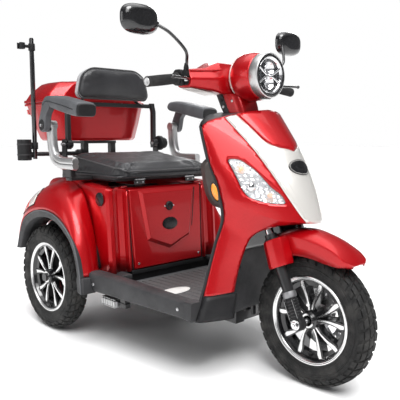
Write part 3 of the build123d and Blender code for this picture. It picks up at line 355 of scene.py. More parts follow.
def revolve(profile, centre, steps=96, axis="X", closed=False):
    """Profile of (place along the axis, radius) turned round an axis through centre."""
    rings = []
    for i in range(steps):
        a = 2 * math.pi * i / steps
        ring = []
        for along, r in profile:
            if axis == "X":
                local = (along, r * math.cos(a), r * math.sin(a))
            elif axis == "Y":
                local = (r * math.cos(a), along, r * math.sin(a))
            else:
                local = (r * math.cos(a), r * math.sin(a), along)
            ring.append(tuple(Vector(centre) + Vector(local)))
        rings.append(ring)
    rings.append(rings[0])
    return loft(rings, closed=closed, caps=False)


def frames_along(points, up=None):
    """A steady pair of cross directions at each point of a path."""
    points = [Vector(p) for p in points]
    pairs = []
    side = None
    for i, p in enumerate(points):
        tangent = (points[min(i + 1, len(points) - 1)] - points[max(i - 1, 0)]).normalized()
        if side is None:
            guess = Vector(up) if up else (Vector((0, 0, 1)) if abs(tangent.z) < 0.8 else Vector((1, 0, 0)))
            side = guess.cross(tangent).normalized()
        else:
            side = (side - tangent * side.dot(tangent)).normalized()
        pairs.append((p, side, tangent.cross(side).normalized()))
    return pairs


def tube(points, radius, steps=16, flat=1.0, up=None, caps=True):
    """Round or oval bar along a path; radius may be a list."""
    rings = []
    for i, (p, side, top) in enumerate(frames_along(points, up)):
        r = radius[i] if isinstance(radius, (list, tuple)) else radius
        ring = []
        for j in range(steps):
            a = 2 * math.pi * j / steps
            ring.append(tuple(p + side * (r * math.cos(a)) + top * (r * flat * math.sin(a))))
        rings.append(ring)
    return loft(rings, caps=caps)


def curve_points(points, per=8):
    """Smooth curve through the given points (any dimension)."""
    p = [np.array(q, float) for q in points]
    p = [2 * p[0] - p[1]] + p + [2 * p[-1] - p[-2]]
    made = []
    for i in range(1, len(p) - 2):
        for j in range(per):
            t = j / per
            made.append(
                0.5 * (2 * p[i] + (p[i + 1] - p[i - 1]) * t
                       + (2 * p[i - 1] - 5 * p[i] + 4 * p[i + 1] - p[i + 2]) * t * t
                       + (3 * p[i] - p[i - 1] - 3 * p[i + 1] + p[i + 2]) * t ** 3)
            )
    made.append(p[-2])
    return [tuple(q) for q in made]


def rounded(points, radius, per=4, closed=True):
    """Flat outline with its corners rounded off."""
    made = []
    count = len(points)
    for i in range(count):
        here = Vector(points[i])
        if not closed and i in (0, count - 1):
            made.append(tuple(here))
            continue
        back = Vector(points[i - 1]) - here
        on = Vector(points[(i + 1) % count]) - here
        cut = min(radius, back.length * 0.45, on.length * 0.45)
        a = here + back.normalized() * cut
        b = here + on.normalized() * cut
        for j in range(per + 1):
            t = j / per
            made.append(tuple(a * (1 - t) ** 2 + here * (2 * t * (1 - t)) + b * t * t))
    return made


def prism(outline, low, high, axis="X"):
    """Flat outline pushed between two places along an axis; outline in the other two."""
    def at(u, v, w):
        return {"X": (w, u, v), "Y": (u, w, v), "Z": (u, v, w)}[axis]

    return loft([[at(u, v, w) for u, v in outline] for w in (low, high)])


def block(name, outline, low, high, axis, material, body, bevel=0.003, **more):
    return piece(name, *prism(outline, low, high, axis), material, body, bevel=bevel, **more)


def oval(centre, a, b, steps=40):
    return [
        (centre[0] + a * math.cos(2 * math.pi * i / steps),
            centre[1] + b * math.sin(2 * math.pi * i / steps))
        for i in range(steps)
    ]


def ease(t):
    t = min(1.0, max(0.0, t))
    return t * t * (3 - 2 * t)


def table_of(rows):
    """Smooth function of height from rows of (height, value, value...)."""
    rows = sorted(rows)
    heights = [r[0] for r in rows]
    fine_z = np.linspace(heights[0], heights[-1], 400)
    columns = []
    for c in range(1, len(rows[0])):
        values = [r[c] for r in rows]
        slopes = np.gradient(values, heights)
        out = []
        for z in fine_z:
            i = min(len(rows) - 2, max(0, int(np.searchsorted(heights, z) - 1)))
            h = heights[i + 1] - heights[i]
            t = (z - heights[i]) / h
            out.append(
                (2 * t ** 3 - 3 * t * t + 1) * values[i] + (t ** 3 - 2 * t * t + t) * h * slopes[i]
                + (3 * t * t - 2 * t ** 3) * values[i + 1] + (t ** 3 - t * t) * h * slopes[i + 1]
            )
        columns.append(out)
    return lambda z: [float(np.interp(z, fine_z, column)) for column in columns]


# ---------------------------------------------------------------- leg shield surface
# height, nose, cheek across and back, half-width at the back edge: all metres, back = aft distance.
UPPER = table_of([
    (0.49, -0.012, 0.166, 0.168, 0.176), (0.505, -0.008, 0.168, 0.170, 0.178), (0.56, 0.012, 0.180, 0.176,
        0.188),
    (0.62, 0.038, 0.185, 0.196, 0.192), (0.664, 0.062, 0.190, 0.220, 0.200), (0.712, 0.090, 0.190, 0.243,
        0.200),
    (0.78, 0.145, 0.189, 0.275, 0.198), (0.85, 0.205, 0.176, 0.303, 0.187),
])
LOWER = table_of([
    (0.19, 0.281, 0.206, 0.292, 0.42), (0.28, 0.240, 0.206, 0.251, 0.40), (0.36, 0.214, 0.208, 0.224, 0.50),
    (0.43, 0.190, 0.205, 0.200, 0.74), (0.50, 0.170, 0.196, 0.180, 0.85), (0.58, 0.178, 0.186, 0.190, 0.90),
])
REAR_HEIGHTS = [0.20, 0.43, 0.505, 0.56, 0.62, 0.664, 0.712, 0.78, 0.85]
REAR_AFT = [0.224, 0.220, 0.209, 0.209, 0.226, 0.245, 0.263, 0.286, 0.307]
CREASE = [(0.0, 0.498), (0.045, 0.503), (0.095, 0.508), (0.127, 0.523), (0.157, 0.545), (0.19, 0.574),
    (0.4, 0.578)]
SIDE_SPAN = 0.12  # cross parameter from the cheek, at 1, round to the turned-back edge


def rear_edge(z):
    return float(np.interp(z, REAR_HEIGHTS, REAR_AFT))


def crease_height(x):
    return float(np.interp(abs(x), [p[0] for p in CREASE], [p[1] for p in CREASE]))


def upper_front(x, z):
    nose, cheek, back, _ = UPPER(z)
    t = abs(x) / cheek
    k = 0.62
    return nose + (back - nose) * (math.hypot(k, t) - k) / (math.hypot(k, 1) - k)


def shield_front(x, z):
    """Distance aft of the shield's face, with its overhang above the crease line."""
    top = crease_height(x)
    if z >= top:
        return upper_front(x, z)
    cheek, back, _, slope = LOWER(z)
    below = back - slope * (cheek - abs(x)) + 0.25 * slope * max(0.0, cheek - abs(x)) ** 2 / 0.1
    t = min(1.0, (top - z) / 0.085)
    return upper_front(x, top) * (1 - t) ** 2 + below * (1 - (1 - t) ** 2)


def shield_widths(z):
    """Cheek across, cheek back and half-width at one height."""
    _, cheek, back, edge = UPPER(max(z, 0.49))
    low_cheek, low_back, low_edge, _ = LOWER(min(z, 0.58))
    t = ease((z - 0.53) / 0.05)
    return tuple(a * (1 - t) + b * t for a, b in ((low_cheek, cheek), (low_back, back), (low_edge, edge)))


def shield_point(s, z, inset=0.0):
    """Point of the shield at cross parameter s, drawn in by inset."""
    sign = -1 if s < 0 else 1
    s = abs(s)
    cheek, back, edge = shield_widths(z)
    soft = 0.035

    def at(q):
        if q <= 1:
            x = q * cheek
            return Vector((x, shield_front(x, z)))
        t = (q - 1) / SIDE_SPAN
        end = Vector((cheek, shield_front(cheek, z)))
        return end.lerp(Vector((edge, rear_edge(z))), t)

    if abs(s - 1) < soft:
        a, b, c = at(1 - soft), at(1), at(1 + soft)
        t = (s - 1 + soft) / (2 * soft)
        here = a * (1 - t) ** 2 + b * 2 * t * (1 - t) + c * t * t
        along = (b - a).lerp(c - b, t)
    else:
        here = at(s)
        step = 0.01 if s < 1 else -0.01
        along = (at(s + step) - here) * (1 if step > 0 else -1)
    if along.length < 1e-9:
        along = Vector((1, 0))
    inward = Vector((-along.y, along.x)).normalized()
    here = here + inward * inset
    return (sign * here.x, aft(here.y), z)


def shield_s(x, z):
    """Cross parameter of a front-view point."""
    cheek, _, edge = shield_widths(z)
    if abs(x) <= cheek:
        s = abs(x) / cheek
    else:
        s = 1 + SIDE_SPAN * min(1.0, (abs(x) - cheek) / max(1e-4, edge - cheek))
    return math.copysign(s, x) if x else 0.0


def dense(outline, step):
    made = []
    for i, a in enumerate(outline):
        b = outline[(i + 1) % len(outline)]
        count = max(1, math.ceil(math.dist(a, b) / step))
        made += [(a[0] + (b[0] - a[0]) * j / count, a[1] + (b[1] - a[1]) * j / count) for j in range(count)]
    return made


def inside(point, outline):
    x, y = point
    hit = False
    for i, a in enumerate(outline):
        b = outline[i - 1]
        if (a[1] > y) != (b[1] > y) and x < (b[0] - a[0]) * (y - a[1]) / (b[1] - a[1]) + a[0]:
            hit = not hit
    return hit


def near_edge(point, outline, gap):
    p = Vector(point)
    for i, a in enumerate(outline):
        near, share = geometry.intersect_point_line(p, Vector(outline[i - 1]), Vector(a))
        spot = near if 0 <= share <= 1 else (Vector(a) if share > 1 else Vector(outline[i - 1]))
        if (p - spot.to_2d()).length < gap:
            return True
    return False


def sheet_mesh(outline, surface, step=0.008, seams=(), holes=()):
    """Triangles filling a flat outline, with holes, carried onto a surface."""
    points, edges = [], []
    for loop in [dense(outline, step)] + [dense(h, step) for h in holes]:
        start = len(points)
        points += loop
        edges += [(start + i, start + (i + 1) % len(loop)) for i in range(len(loop))]
    for seam in seams:
        run = [p for p in dense(seam, step)[: -1] if inside(p, outline) and not near_edge(p, outline,
            step * 0.4)]
        start = len(points)
        points += run
        edges += [(start + i, start + i + 1) for i in range(len(run) - 1) if math.dist(run[i],
            run[i + 1]) < 2.5 * step]
    low = [min(p[i] for p in outline) for i in (0, 1)]
    high = [max(p[i] for p in outline) for i in (0, 1)]
    taken = [p for p in points]
    grid = []
    for i in range(int((high[0] - low[0]) / step) + 1):
        for j in range(int((high[1] - low[1]) / step) + 1):
            p = (low[0] + (i + 0.5 * (j % 2)) * step, low[1] + j * step)
            if inside(p, outline) and not any(inside(p, h) for h in holes):
                grid.append(p)
    if grid:
        far = np.array(taken)
        grid = [p for p in grid if np.min(np.hypot(far[:, 0] - p[0], far[:, 1] - p[1])) > step * 0.55]
    every = [Vector(p) for p in points + grid]
    verts, _, faces, *_ = geometry.delaunay_2d_cdt(every, edges, [], 1, 1e-7)
    kept = []
    for f in faces:
        middle = tuple(sum((verts[i] for i in f), Vector((0, 0))) / len(f))
        if inside(middle, outline) and not any(inside(middle, h) for h in holes):
            kept.append(tuple(f))
    return [surface(v.x, v.y) for v in verts], kept


S_SCALE = 0.19  # cross parameter 1 counts as this many metres when triangles are laid out


def to_flat(outline):
    return [(shield_s(x, z) * S_SCALE, z) for x, z in outline]


def on_shield(inset=0.0):
    return lambda u, z: shield_point(u / S_SCALE, z, inset)


def panel(name, outline, material, slot=None, stands=(), inset=0.0, thick=0.003, step=0.008, holes=(),
        seams=(), body="chassis"):
    flat = to_flat(dense(outline, 0.012))
    part = sheet_mesh(flat, on_shield(inset), step, [to_flat(s) for s in seams],
        [to_flat(dense(h, 0.006)) for h in holes])
    verts, faces = part
    made = piece(name, verts, faces, material, body, slot, stands, thick=thick, sharp=24)
    aim_outward(made)
    return made


def aim_outward(made, toward=(0, -1, 0)):
    """Faces of an open sheet turned to one side."""
    work = bmesh.new()
    work.from_mesh(made.data)
    total = sum((f.normal * f.calc_area() for f in work.faces), Vector())
    if total.dot(Vector(toward)) < 0:
        bmesh.ops.reverse_faces(work, faces=work.faces)
        work.to_mesh(made.data)
    work.free()


def both(half):
    """Outline completed on the other side of the middle."""
    return half + [(-x, z) for x, z in reversed(half) if abs(x) > 1e-9]


SHIELD_TOP = [(0, 0.838), (0.05, 0.834), (0.09, 0.828), (0.13, 0.819), (0.16, 0.811), (0.180, 0.803),
    (0.195, 0.790), (0.215, 0.760)]
ARCH_RIM = curve_points(
    [(0.162, 0.282), (0.150, 0.325), (0.138, 0.372), (0.128, 0.412), (0.115, 0.446), (0.098, 0.474),
        (0.075, 0.490), (0.045, 0.497), (0, 0.499)], 4)
SHIELD_OUTLINE = both(SHIELD_TOP + [(0.32, 0.28), (0.255, 0.278)] + ARCH_RIM)
NOSE_SIDE = curve_points([(0.138, 0.813), (0.124, 0.768), (0.109, 0.718), (0.091, 0.648), (0.073, 0.582),
    (0.054, 0.530), (0.043, 0.508)], 5)
NOSE_V = curve_points([(0, 0.709), (0.018, 0.716), (0.05, 0.724), (0.074, 0.740), (0.088, 0.776),
    (0.108, 0.822)], 4)
NOSE = both(NOSE_V + [(0.126, 0.817)] + NOSE_SIDE + [(0.038, 0.500), (0, 0.499)])
COVER_V = [(x * 0.975, z + 0.003) for x, z in NOSE_V]
COVER = both([(0, 0.839), (0.05, 0.835), (0.09, 0.829), (0.119, 0.8225)] + COVER_V[::-1])
LAMP_R = rounded([(0.170, 0.689), (0.146, 0.688), (0.122, 0.655), (0.102, 0.605), (0.084, 0.583),
    (0.078, 0.556), (0.118, 0.560), (0.148, 0.574), (0.158, 0.596)], 0.011)
LAMP_L = [(-x, z) for x, z in LAMP_R]
CREASE_LINE = [(-x, z) for x, z in reversed(CREASE[:-1])] + CREASE[1:-1]


def grown(outline, margin):
    """Outline moved outward by a margin (inward when negative)."""
    area = sum(outline[i - 1][0] * p[1] - p[0] * outline[i - 1][1] for i, p in enumerate(outline))
    sign = 1 if area > 0 else -1
    made = []
    for i, p in enumerate(outline):
        p = Vector(p)
        before = (p - Vector(outline[i - 1])).normalized()
        after = (Vector(outline[(i + 1) % len(outline)]) - p).normalized()
        first, second = Vector((before.y, -before.x)), Vector((after.y, -after.x))
        out = (first + second) / max(0.35, 1 + first.dot(second)) * sign * margin
        made.append((p.x + out.x, p.y + out.y))
    return made


panel("shield_red", SHIELD_OUTLINE, RED, "red_paint", ["leg_shield"], step=0.0075,
      holes=[grown(NOSE, 0.0008), grown(LAMP_R, 0.0012), grown(LAMP_L, 0.0012),
          grown(COVER, 0.0012)], seams=[CREASE_LINE])
panel("shield_nose", NOSE, SILVER, "silver_paint", ["nose_panel"], inset=-0.0012, thick=0.004)
panel("shield_cover", COVER, RED, "red_paint", ["column_cover"], inset=-0.002, thick=0.005)
panel("shield_backing", grown(SHIELD_OUTLINE, -0.003), BLACK, "black_plastic", inset=0.007, thick=0.0015,
    step=0.012,
      holes=[grown(LAMP_R, -0.001), grown(LAMP_L, -0.001)])


def surface_line(points, inset):
    return [shield_point(shield_s(x, z), z, inset) for x, z in points]


for side, word in SIDES:
    for share, size in ((0.86, 0.0011), (0.70, 0.0008)):
        run = [(side * x * (share + 0.04 * ease((z - 0.5) / 0.3)), z) for x, z in NOSE_SIDE[2:-3]]
        piece(f"nose_groove_{word}_{int(share * 100)}", *tube(surface_line(run, -0.0012), size, 6), SILVER,
            "chassis", "silver_paint", sharp=0)

badge = [(0.043 * math.cos(a), 0.664 + 0.0225 * math.sin(a)) for a in np.linspace(0, 2 * math.pi, 48,
    endpoint=False)]
panel("nose_badge", badge, DECAL, "black_plastic", inset=-0.0042, thick=0.003, step=0.006)
ring = [shield_point(shield_s(x * 0.93, 0.664 + (z - 0.664) * 0.9), 0.664 + (z - 0.664) * 0.9,
    -0.0043) for x, z in badge]
piece("nose_badge_rim", *tube(ring + ring[:2], 0.0006, 6, caps=False), SILVER, "chassis", "silver_paint",
    sharp=0)

# ---------------------------------------------------------------- front lamps
random.seed(7)
for side, word, outline in ((-1, "right", LAMP_L), (1, "left", LAMP_R)):
    panel(f"lamp_glass_{word}", outline, CLEAR, "clear_lens", ["front_lamps"] if side > 0 else [],
        inset=0.0005, thick=0.002)
    centre = Vector((sum(p[0] for p in outline) / len(outline), sum(p[1] for p in outline) / len(outline)))

    def bowl(u, z, outline=to_flat(dense(outline, 0.012)), centre=centre):
        middle = Vector((shield_s(centre.x, centre.y) * S_SCALE, centre.y))
        reach = max((Vector(p) - middle).length for p in outline)
        share = min(1.0, (Vector((u, z)) - middle).length / (reach * 0.8))
        facet = 0.0025 * ((int(u / 0.011) + int(z / 0.011)) % 2)
        return shield_point(u / S_SCALE, z, 0.008 + 0.017 * (1 - share ** 2) + facet)

    inner = sheet_mesh(to_flat(dense(grown(outline, -0.001), 0.012)), bowl, 0.0055)
    piece(f"lamp_reflector_{word}", *inner, CHROME, "chassis", "bright_steel", sharp=8)
    wall_top = [shield_point(shield_s(x, z), z, 0.001) for x, z in outline]
    wall_low = [shield_point(shield_s(x, z), z, 0.012) for x, z in grown(outline, -0.001)]
    piece(f"lamp_wall_{word}", *loft([wall_top, wall_low], caps=False), CHROME, "chassis", "bright_steel")
    for i, (x, z, r, material) in enumerate(((0.150, 0.655, 0.012, BULB), (0.140, 0.605, 0.017, CHROME),
            (0.108, 0.580, 0.010, BULB))):
        spot = Vector(shield_point(shield_s(side * x, z), z, 0.012))
        ball = revolve([(r * math.sin(a) * 0.8, max(1e-4, r * math.cos(a))) for a in np.linspace(-1.57,
            1.57, 9)], spot, 20, "Y")
        piece(f"lamp_bulb_{word}_{i}", *ball, material, "chassis",
            "amber_lens" if material is BULB else "bright_steel", sharp=0)

# ---------------------------------------------------------------- rider-side cover, its cap and the side pods
def bulge(z):
    return float(np.interp(z, [0.195, 0.43, 0.505, 0.56, 0.62, 0.664, 0.712, 0.78, 0.85],
        [0.286, 0.288, 0.296, 0.312, 0.332, 0.346, 0.362, 0.388, 0.40]))


def back_point(s, z, inset=0.0):
    """Point of the cover that faces the rider; s runs from -1 to 1."""
    half = shield_widths(z)[2] - inset
    flat_back = rear_edge(z) + 0.010
    a = abs(s)
    if a > 0.9:
        t = (a - 0.9) / 0.1
        return (math.copysign(half, s), aft(flat_back + (rear_edge(z) + 0.003 - flat_back) * t), z)
    t = a / 0.9
    y = flat_back + (bulge(z) - flat_back) * (1 - t ** 1.5) ** 1.3 if t < 1 else flat_back
    return (math.copysign(half * t, s) if s else 0.0, aft(y - inset), z)


def roof_height(x):
    return float(np.interp(abs(x), [p[0] for p in SHIELD_TOP], [p[1] for p in SHIELD_TOP]))


rows = []
for i in range(49):
    s = -1 + 2 * i / 48
    column = []
    for j in range(29):
        z = 0.238 + (0.84 - 0.238) * j / 28
        for _ in range(2):
            x = back_point(s, z)[0]
            z = min(z, roof_height(x) - 0.002)
        column.append(back_point(s, z))
    rows.append(column)
piece("cover_back", *loft(rows, closed=False), GREY, "chassis", "grey_plastic", ["inner_shield"],
    thick=0.003, sharp=30)

roof = []
for i in range(41):
    x = -0.19 + 0.38 * i / 40
    z = roof_height(x) - 0.001
    front = shield_point(shield_s(x, z - 0.004), z - 0.004, 0.003)
    half = shield_widths(z)[2]
    back = back_point(math.copysign(min(1.0, 0.9 * abs(x) / half), x) if x else 0.0, z)
    if abs(x) < 0.067:
        ring_gap = math.sqrt(0.067 ** 2 - x * x)
        middle = 0.297
        roof.append([(x, front[1], z), (x, min(back[1], aft(middle) - ring_gap), z - 0.001),
            (x, aft(middle) + ring_gap, z - 0.002), (x, back[1], z - 0.003)])
    else:
        roof.append([(x, front[1] + (back[1] - front[1]) * t, z - 0.003 * t) for t in (0, 0.33, 0.66, 1)])
faces = []
verts = [p for row in roof for p in row]
for i in range(40):
    for j in range(3):
        if j == 1 and abs(roof[i][0][0]) < 0.07 and abs(roof[i + 1][0][0]) < 0.07:
            continue
        faces.append((i * 4 + j, i * 4 + j + 1, i * 4 + j + 5, i * 4 + j + 4))
cap = piece("cover_cap", verts, faces, GREY, "chassis", "grey_plastic", thick=0.003, sharp=30)
aim_outward(cap, (0, 0, 1))

POD_HEIGHTS = [0.536, 0.545, 0.557, 0.585, 0.620, 0.650, 0.667, 0.678, 0.688]
POD_ACROSS = [0.160, 0.172, 0.183, 0.199, 0.208, 0.2145, 0.216, 0.207, 0.192]
POD_AFT = 0.256


def pod_corner(z):
    """Front and outer corners of the side pod at one height, across and aft."""
    return (shield_widths(z)[2] - 0.001, rear_edge(z) + 0.0015), (float(np.interp(z, POD_HEIGHTS,
        POD_ACROSS)), POD_AFT)


def pod_face(share, z, lift=0.0):
    """Point of the pod's outer face, share of the way back and lifted off it."""
    front, outer = (Vector(p) for p in pod_corner(z))
    run = outer - front
    out = Vector((run.y, -run.x)).normalized()
    here = front + run * share + out * lift
    return here.x, aft(here.y)


for side, word in SIDES:
    edge = [(side * (shield_widths(z)[2] + 0.0005), aft(rear_edge(z) + 0.0035),
        z) for z in np.linspace(0.284, 0.785, 40)]
    piece(f"shield_edge_{word}", *tube(edge, 0.0032, 8), BLACK, "chassis", "black_plastic", sharp=0)
    foot = [(0.150, 0.277), (0.254, 0.277), (0.262, 0.262), (0.291, 0.203), (0.168, 0.201)]
    panel(f"shield_foot_{word}", [(side * x, z) for x, z in foot], BLACK, "black_plastic", inset=0.0015,
        thick=0.004, step=0.012)
    rings = []
    for z in POD_HEIGHTS:
        (fx, fy), (ox, oy) = pod_corner(z)
        plan = rounded([(fx, fy), (ox, oy), (ox - 0.014, 0.290), (0.140, 0.290), (0.140, fy + 0.020)],
            0.004, 2)
        rings.append([(side * x, aft(y), z) for x, y in plan])
    piece(f"side_pod_{word}", *loft(rings), POD, "chassis", "grey_plastic", bevel=0.002, sharp=50)
    rings = []
    for i in range(7):
        share = math.cos(math.pi / 2 * (i / 6.3))
        lift = 0.001 + 0.0045 * math.sin(math.pi / 2 * i / 6)
        ring = []
        for a in np.linspace(0, 2 * math.pi, 32, endpoint=False):
            z = 0.588 + 0.0262 * share * math.sin(a)
            x, y = pod_face(0.42 + 0.29 * share * math.cos(a), z, lift)
            ring.append((side * x, y, z))
        rings.append(ring)
    piece(f"side_reflector_{word}", *loft(rings), AMBER, "chassis", "amber_lens",
        ["side_reflectors"] if side > 0 else [], sharp=0)
    rim = []
    for a in np.linspace(0, 2 * math.pi, 41):
        x, y = pod_face(0.42 + 0.32 * math.cos(a), 0.588 + 0.0282 * math.sin(a), 0.0008)
        rim.append((side * x, y, 0.588 + 0.0282 * math.sin(a)))
    piece(f"reflector_rim_{word}", *tube(rim, 0.0016, 6, caps=False), BLACK, "chassis", "black_plastic",
        sharp=0)

# ---------------------------------------------------------------- wheel liner
rows = []
for z in np.linspace(0.202, 0.400, 20):
    half = float(np.interp(z, [0.2, 0.28, 0.34, 0.44, 0.475], [0.146, 0.146, 0.134, 0.112, 0.09]))
    rows.append([(half * t, aft(0.2225 - 0.018 * t * t), z) for t in np.linspace(-1, 1, 21)])
liner = piece("liner", *loft(rows, closed=False), GREY, "chassis", "grey_plastic", ["wheel_liner"],
    thick=0.003, sharp=30)
aim_outward(liner)
for side, word in SIDES:
    bolt = revolve([(-0.002, 0.0001), (-0.002, 0.0042), (0.0, 0.0058), (0.002, 0.006)],
        (side * 0.105, aft(0.212), 0.345), 16, "Y")
    piece(f"liner_bolt_{word}", *bolt, BLACK, "chassis", "black_plastic")
inner_arch = []
for z in np.linspace(0.396, 0.498, 10):
    half = float(np.interp(z, [0.39, 0.44, 0.475, 0.5], [0.122, 0.110, 0.088, 0.04]))
    inner_arch.append([(half * t, aft(0.218 - 0.010 * t * t), z) for t in np.linspace(-1, 1, 15)])
arch = piece("liner_arch", *loft(inner_arch, closed=False), GLOSS_BLACK, "chassis", "black_plastic",
    thick=0.002, sharp=30)
aim_outward(arch)


# ---------------------------------------------------------------- wheels
AXLE_Z = 0.205
CARCASS = curve_points([(0.0, 0.1995), (0.014, 0.1985), (0.0255, 0.1940), (0.0325, 0.1865),
    (0.0358, 0.1765)], 6)
CARCASS_LENGTHS = np.concatenate([[0], np.cumsum([math.dist(a, b) for a, b in zip(CARCASS, CARCASS[1:])])])
SIDEWALL = [
    (0.0372, 0.170), (0.0368, 0.1665), (0.0384, 0.1655), (0.0386, 0.1635), (0.0378, 0.1625), (0.0378,
        0.1545), (0.0368, 0.1535),
    (0.0362, 0.1475), (0.0346, 0.1470), (0.0338, 0.1420), (0.0318, 0.1385), (0.0285, 0.1375), (0.027,
        0.1290), (0.020, 0.1278)]
TREAD = 0.0045


def tread_point(centre, t, angle, lift):
    """Point on the tread: t runs across it from -1 to 1, angle round the wheel."""
    length = abs(t) * CARCASS_LENGTHS[-1]
    x = float(np.interp(length, CARCASS_LENGTHS, [p[0] for p in CARCASS]))
    r = float(np.interp(length, CARCASS_LENGTHS, [p[1] for p in CARCASS]))
    ahead = min(length + 0.001, CARCASS_LENGTHS[-1])
    behind = ahead - 0.002
    run = Vector((
        float(np.interp(ahead, CARCASS_LENGTHS, [p[0] for p in CARCASS]) - np.interp(behind,
            CARCASS_LENGTHS, [p[0] for p in CARCASS])),
        float(np.interp(ahead, CARCASS_LENGTHS, [p[1] for p in CARCASS]) - np.interp(behind,
            CARCASS_LENGTHS, [p[1] for p in CARCASS])),
    )).normalized()
    x, r = x - run.y * lift, r + run.x * lift
    x = math.copysign(x, t)
    return (centre[0] + x, centre[1] - r * math.sin(angle), centre[2] + r * math.cos(angle))


def tread_block(centre, t0, t1, a0, a1, skew):
    """Raised block of rubber with sloping sides."""
    rings = []
    across, round_ = 4, 3
    for lift, inset in ((-0.001, -0.10), (TREAD * 0.8, 0.0), (TREAD, 0.09)):
        ring = []
        width, length = t1 - t0, a1 - a0
        path = [(i / across, 0) for i in range(across)] + [(1, j / round_) for j in range(round_)]
        path += [(1 - i / across, 1) for i in range(across)] + [(0, 1 - j / round_) for j in range(round_)]
        for u, v in path:
            u = inset * 0.5 + u * (1 - inset)
            v = inset * 0.8 + v * (1 - 1.6 * inset)
            t = t0 + width * u
            ring.append(tread_point(centre, t, a0 + length * v + skew * abs(t), lift))
        rings.append(ring)
    size = len(rings[0])
    verts, faces = loft(rings, caps=False)
    top = len(verts) - size
    inner = []
    for j in range(round_ + 1):
        row = []
        for i in range(across + 1):
            if j == 0:
                row.append(top + i)
            elif j == round_:
                row.append(top + 2 * across + round_ - i)
            elif i == 0:
                row.append(top + size - j)
            elif i == across:
                row.append(top + across + j)
            else:
                u, v = 0.045 + i / across * 0.91, 0.072 + j / round_ * 0.856
                t = t0 + (t1 - t0) * u
                verts.append(tread_point(centre, t, a0 + (a1 - a0) * v + skew * abs(t), TREAD))
                row.append(len(verts) - 1)
        inner.append(row)
    for j in range(round_):
        for i in range(across):
            faces.append((inner[j][i], inner[j][i + 1], inner[j + 1][i + 1], inner[j + 1][i]))
    return verts, faces


def build_tyre(name, centre, body, node):
    half = CARCASS + SIDEWALL
    profile = [(-x, r) for x, r in reversed(half[1:])] + half
    carcass = revolve(profile, centre, 144)
    blocks = []
    pitch = 2 * math.pi / 38
    for i in range(38):
        a = i * pitch
        for side in (-1, 1):
            shift = 0 if side > 0 else pitch / 2
            blocks.append(tread_block(centre, *sorted((side * 0.03, side * 0.33)), a + shift,
                a + shift + pitch * 0.80, 0.16))
            blocks.append(tread_block(centre, *sorted((side * 0.40, side * 0.66)), a + shift,
                a + shift + pitch * 0.72, 0.16))
            blocks.append(tread_block(centre, *sorted((side * 0.72, side * (1.0 if i % 2 else 0.93))),
                a + shift, a + shift + pitch * 0.66, 0.14))
    return piece(name, *merged(carcass, *blocks), TYRE, body, "tyre_rubber", [node], sharp=35)


def wheel_flat(centre, x, points):
    """Points given as (outward along the spoke, across it) turned to wheel coordinates."""
    return [(centre[0] + x, centre[1] + v, centre[2] + u) for u, v in points]


def spoke_prism(centre, outline, low, high, inset, angle):
    """Spoke body or face: an outline between two places across the wheel, its outer edge chamfered."""
    rings = [wheel_flat(centre, low, outline), wheel_flat(centre, high - math.copysign(inset, high - low),
        outline)]
    middle = Vector((sum(p[0] for p in outline) / len(outline), sum(p[1] for p in outline) / len(outline)))
    drawn = [tuple(Vector(p) + (middle - Vector(p)).normalized() * inset) for p in outline]
    rings.append(wheel_flat(centre, high, drawn))
    return turned(loft(rings), centre, "X", angle)


ARM_BODY = [(0.018, 0.0005), (0.045, 0.0028), (0.070, 0.0085), (0.098, 0.018), (0.129, 0.0305),
    (0.127, 0.0455), (0.099, 0.0405), (0.076, 0.0275), (0.050, 0.0145), (0.018, 0.0115)]
ARM_FACE = [(0.022, 0.0015), (0.045, 0.0045), (0.070, 0.0110), (0.097, 0.0215), (0.1285, 0.0345),
    (0.1275, 0.0405), (0.100, 0.0370), (0.076, 0.0220), (0.050, 0.0105), (0.022, 0.0065)]


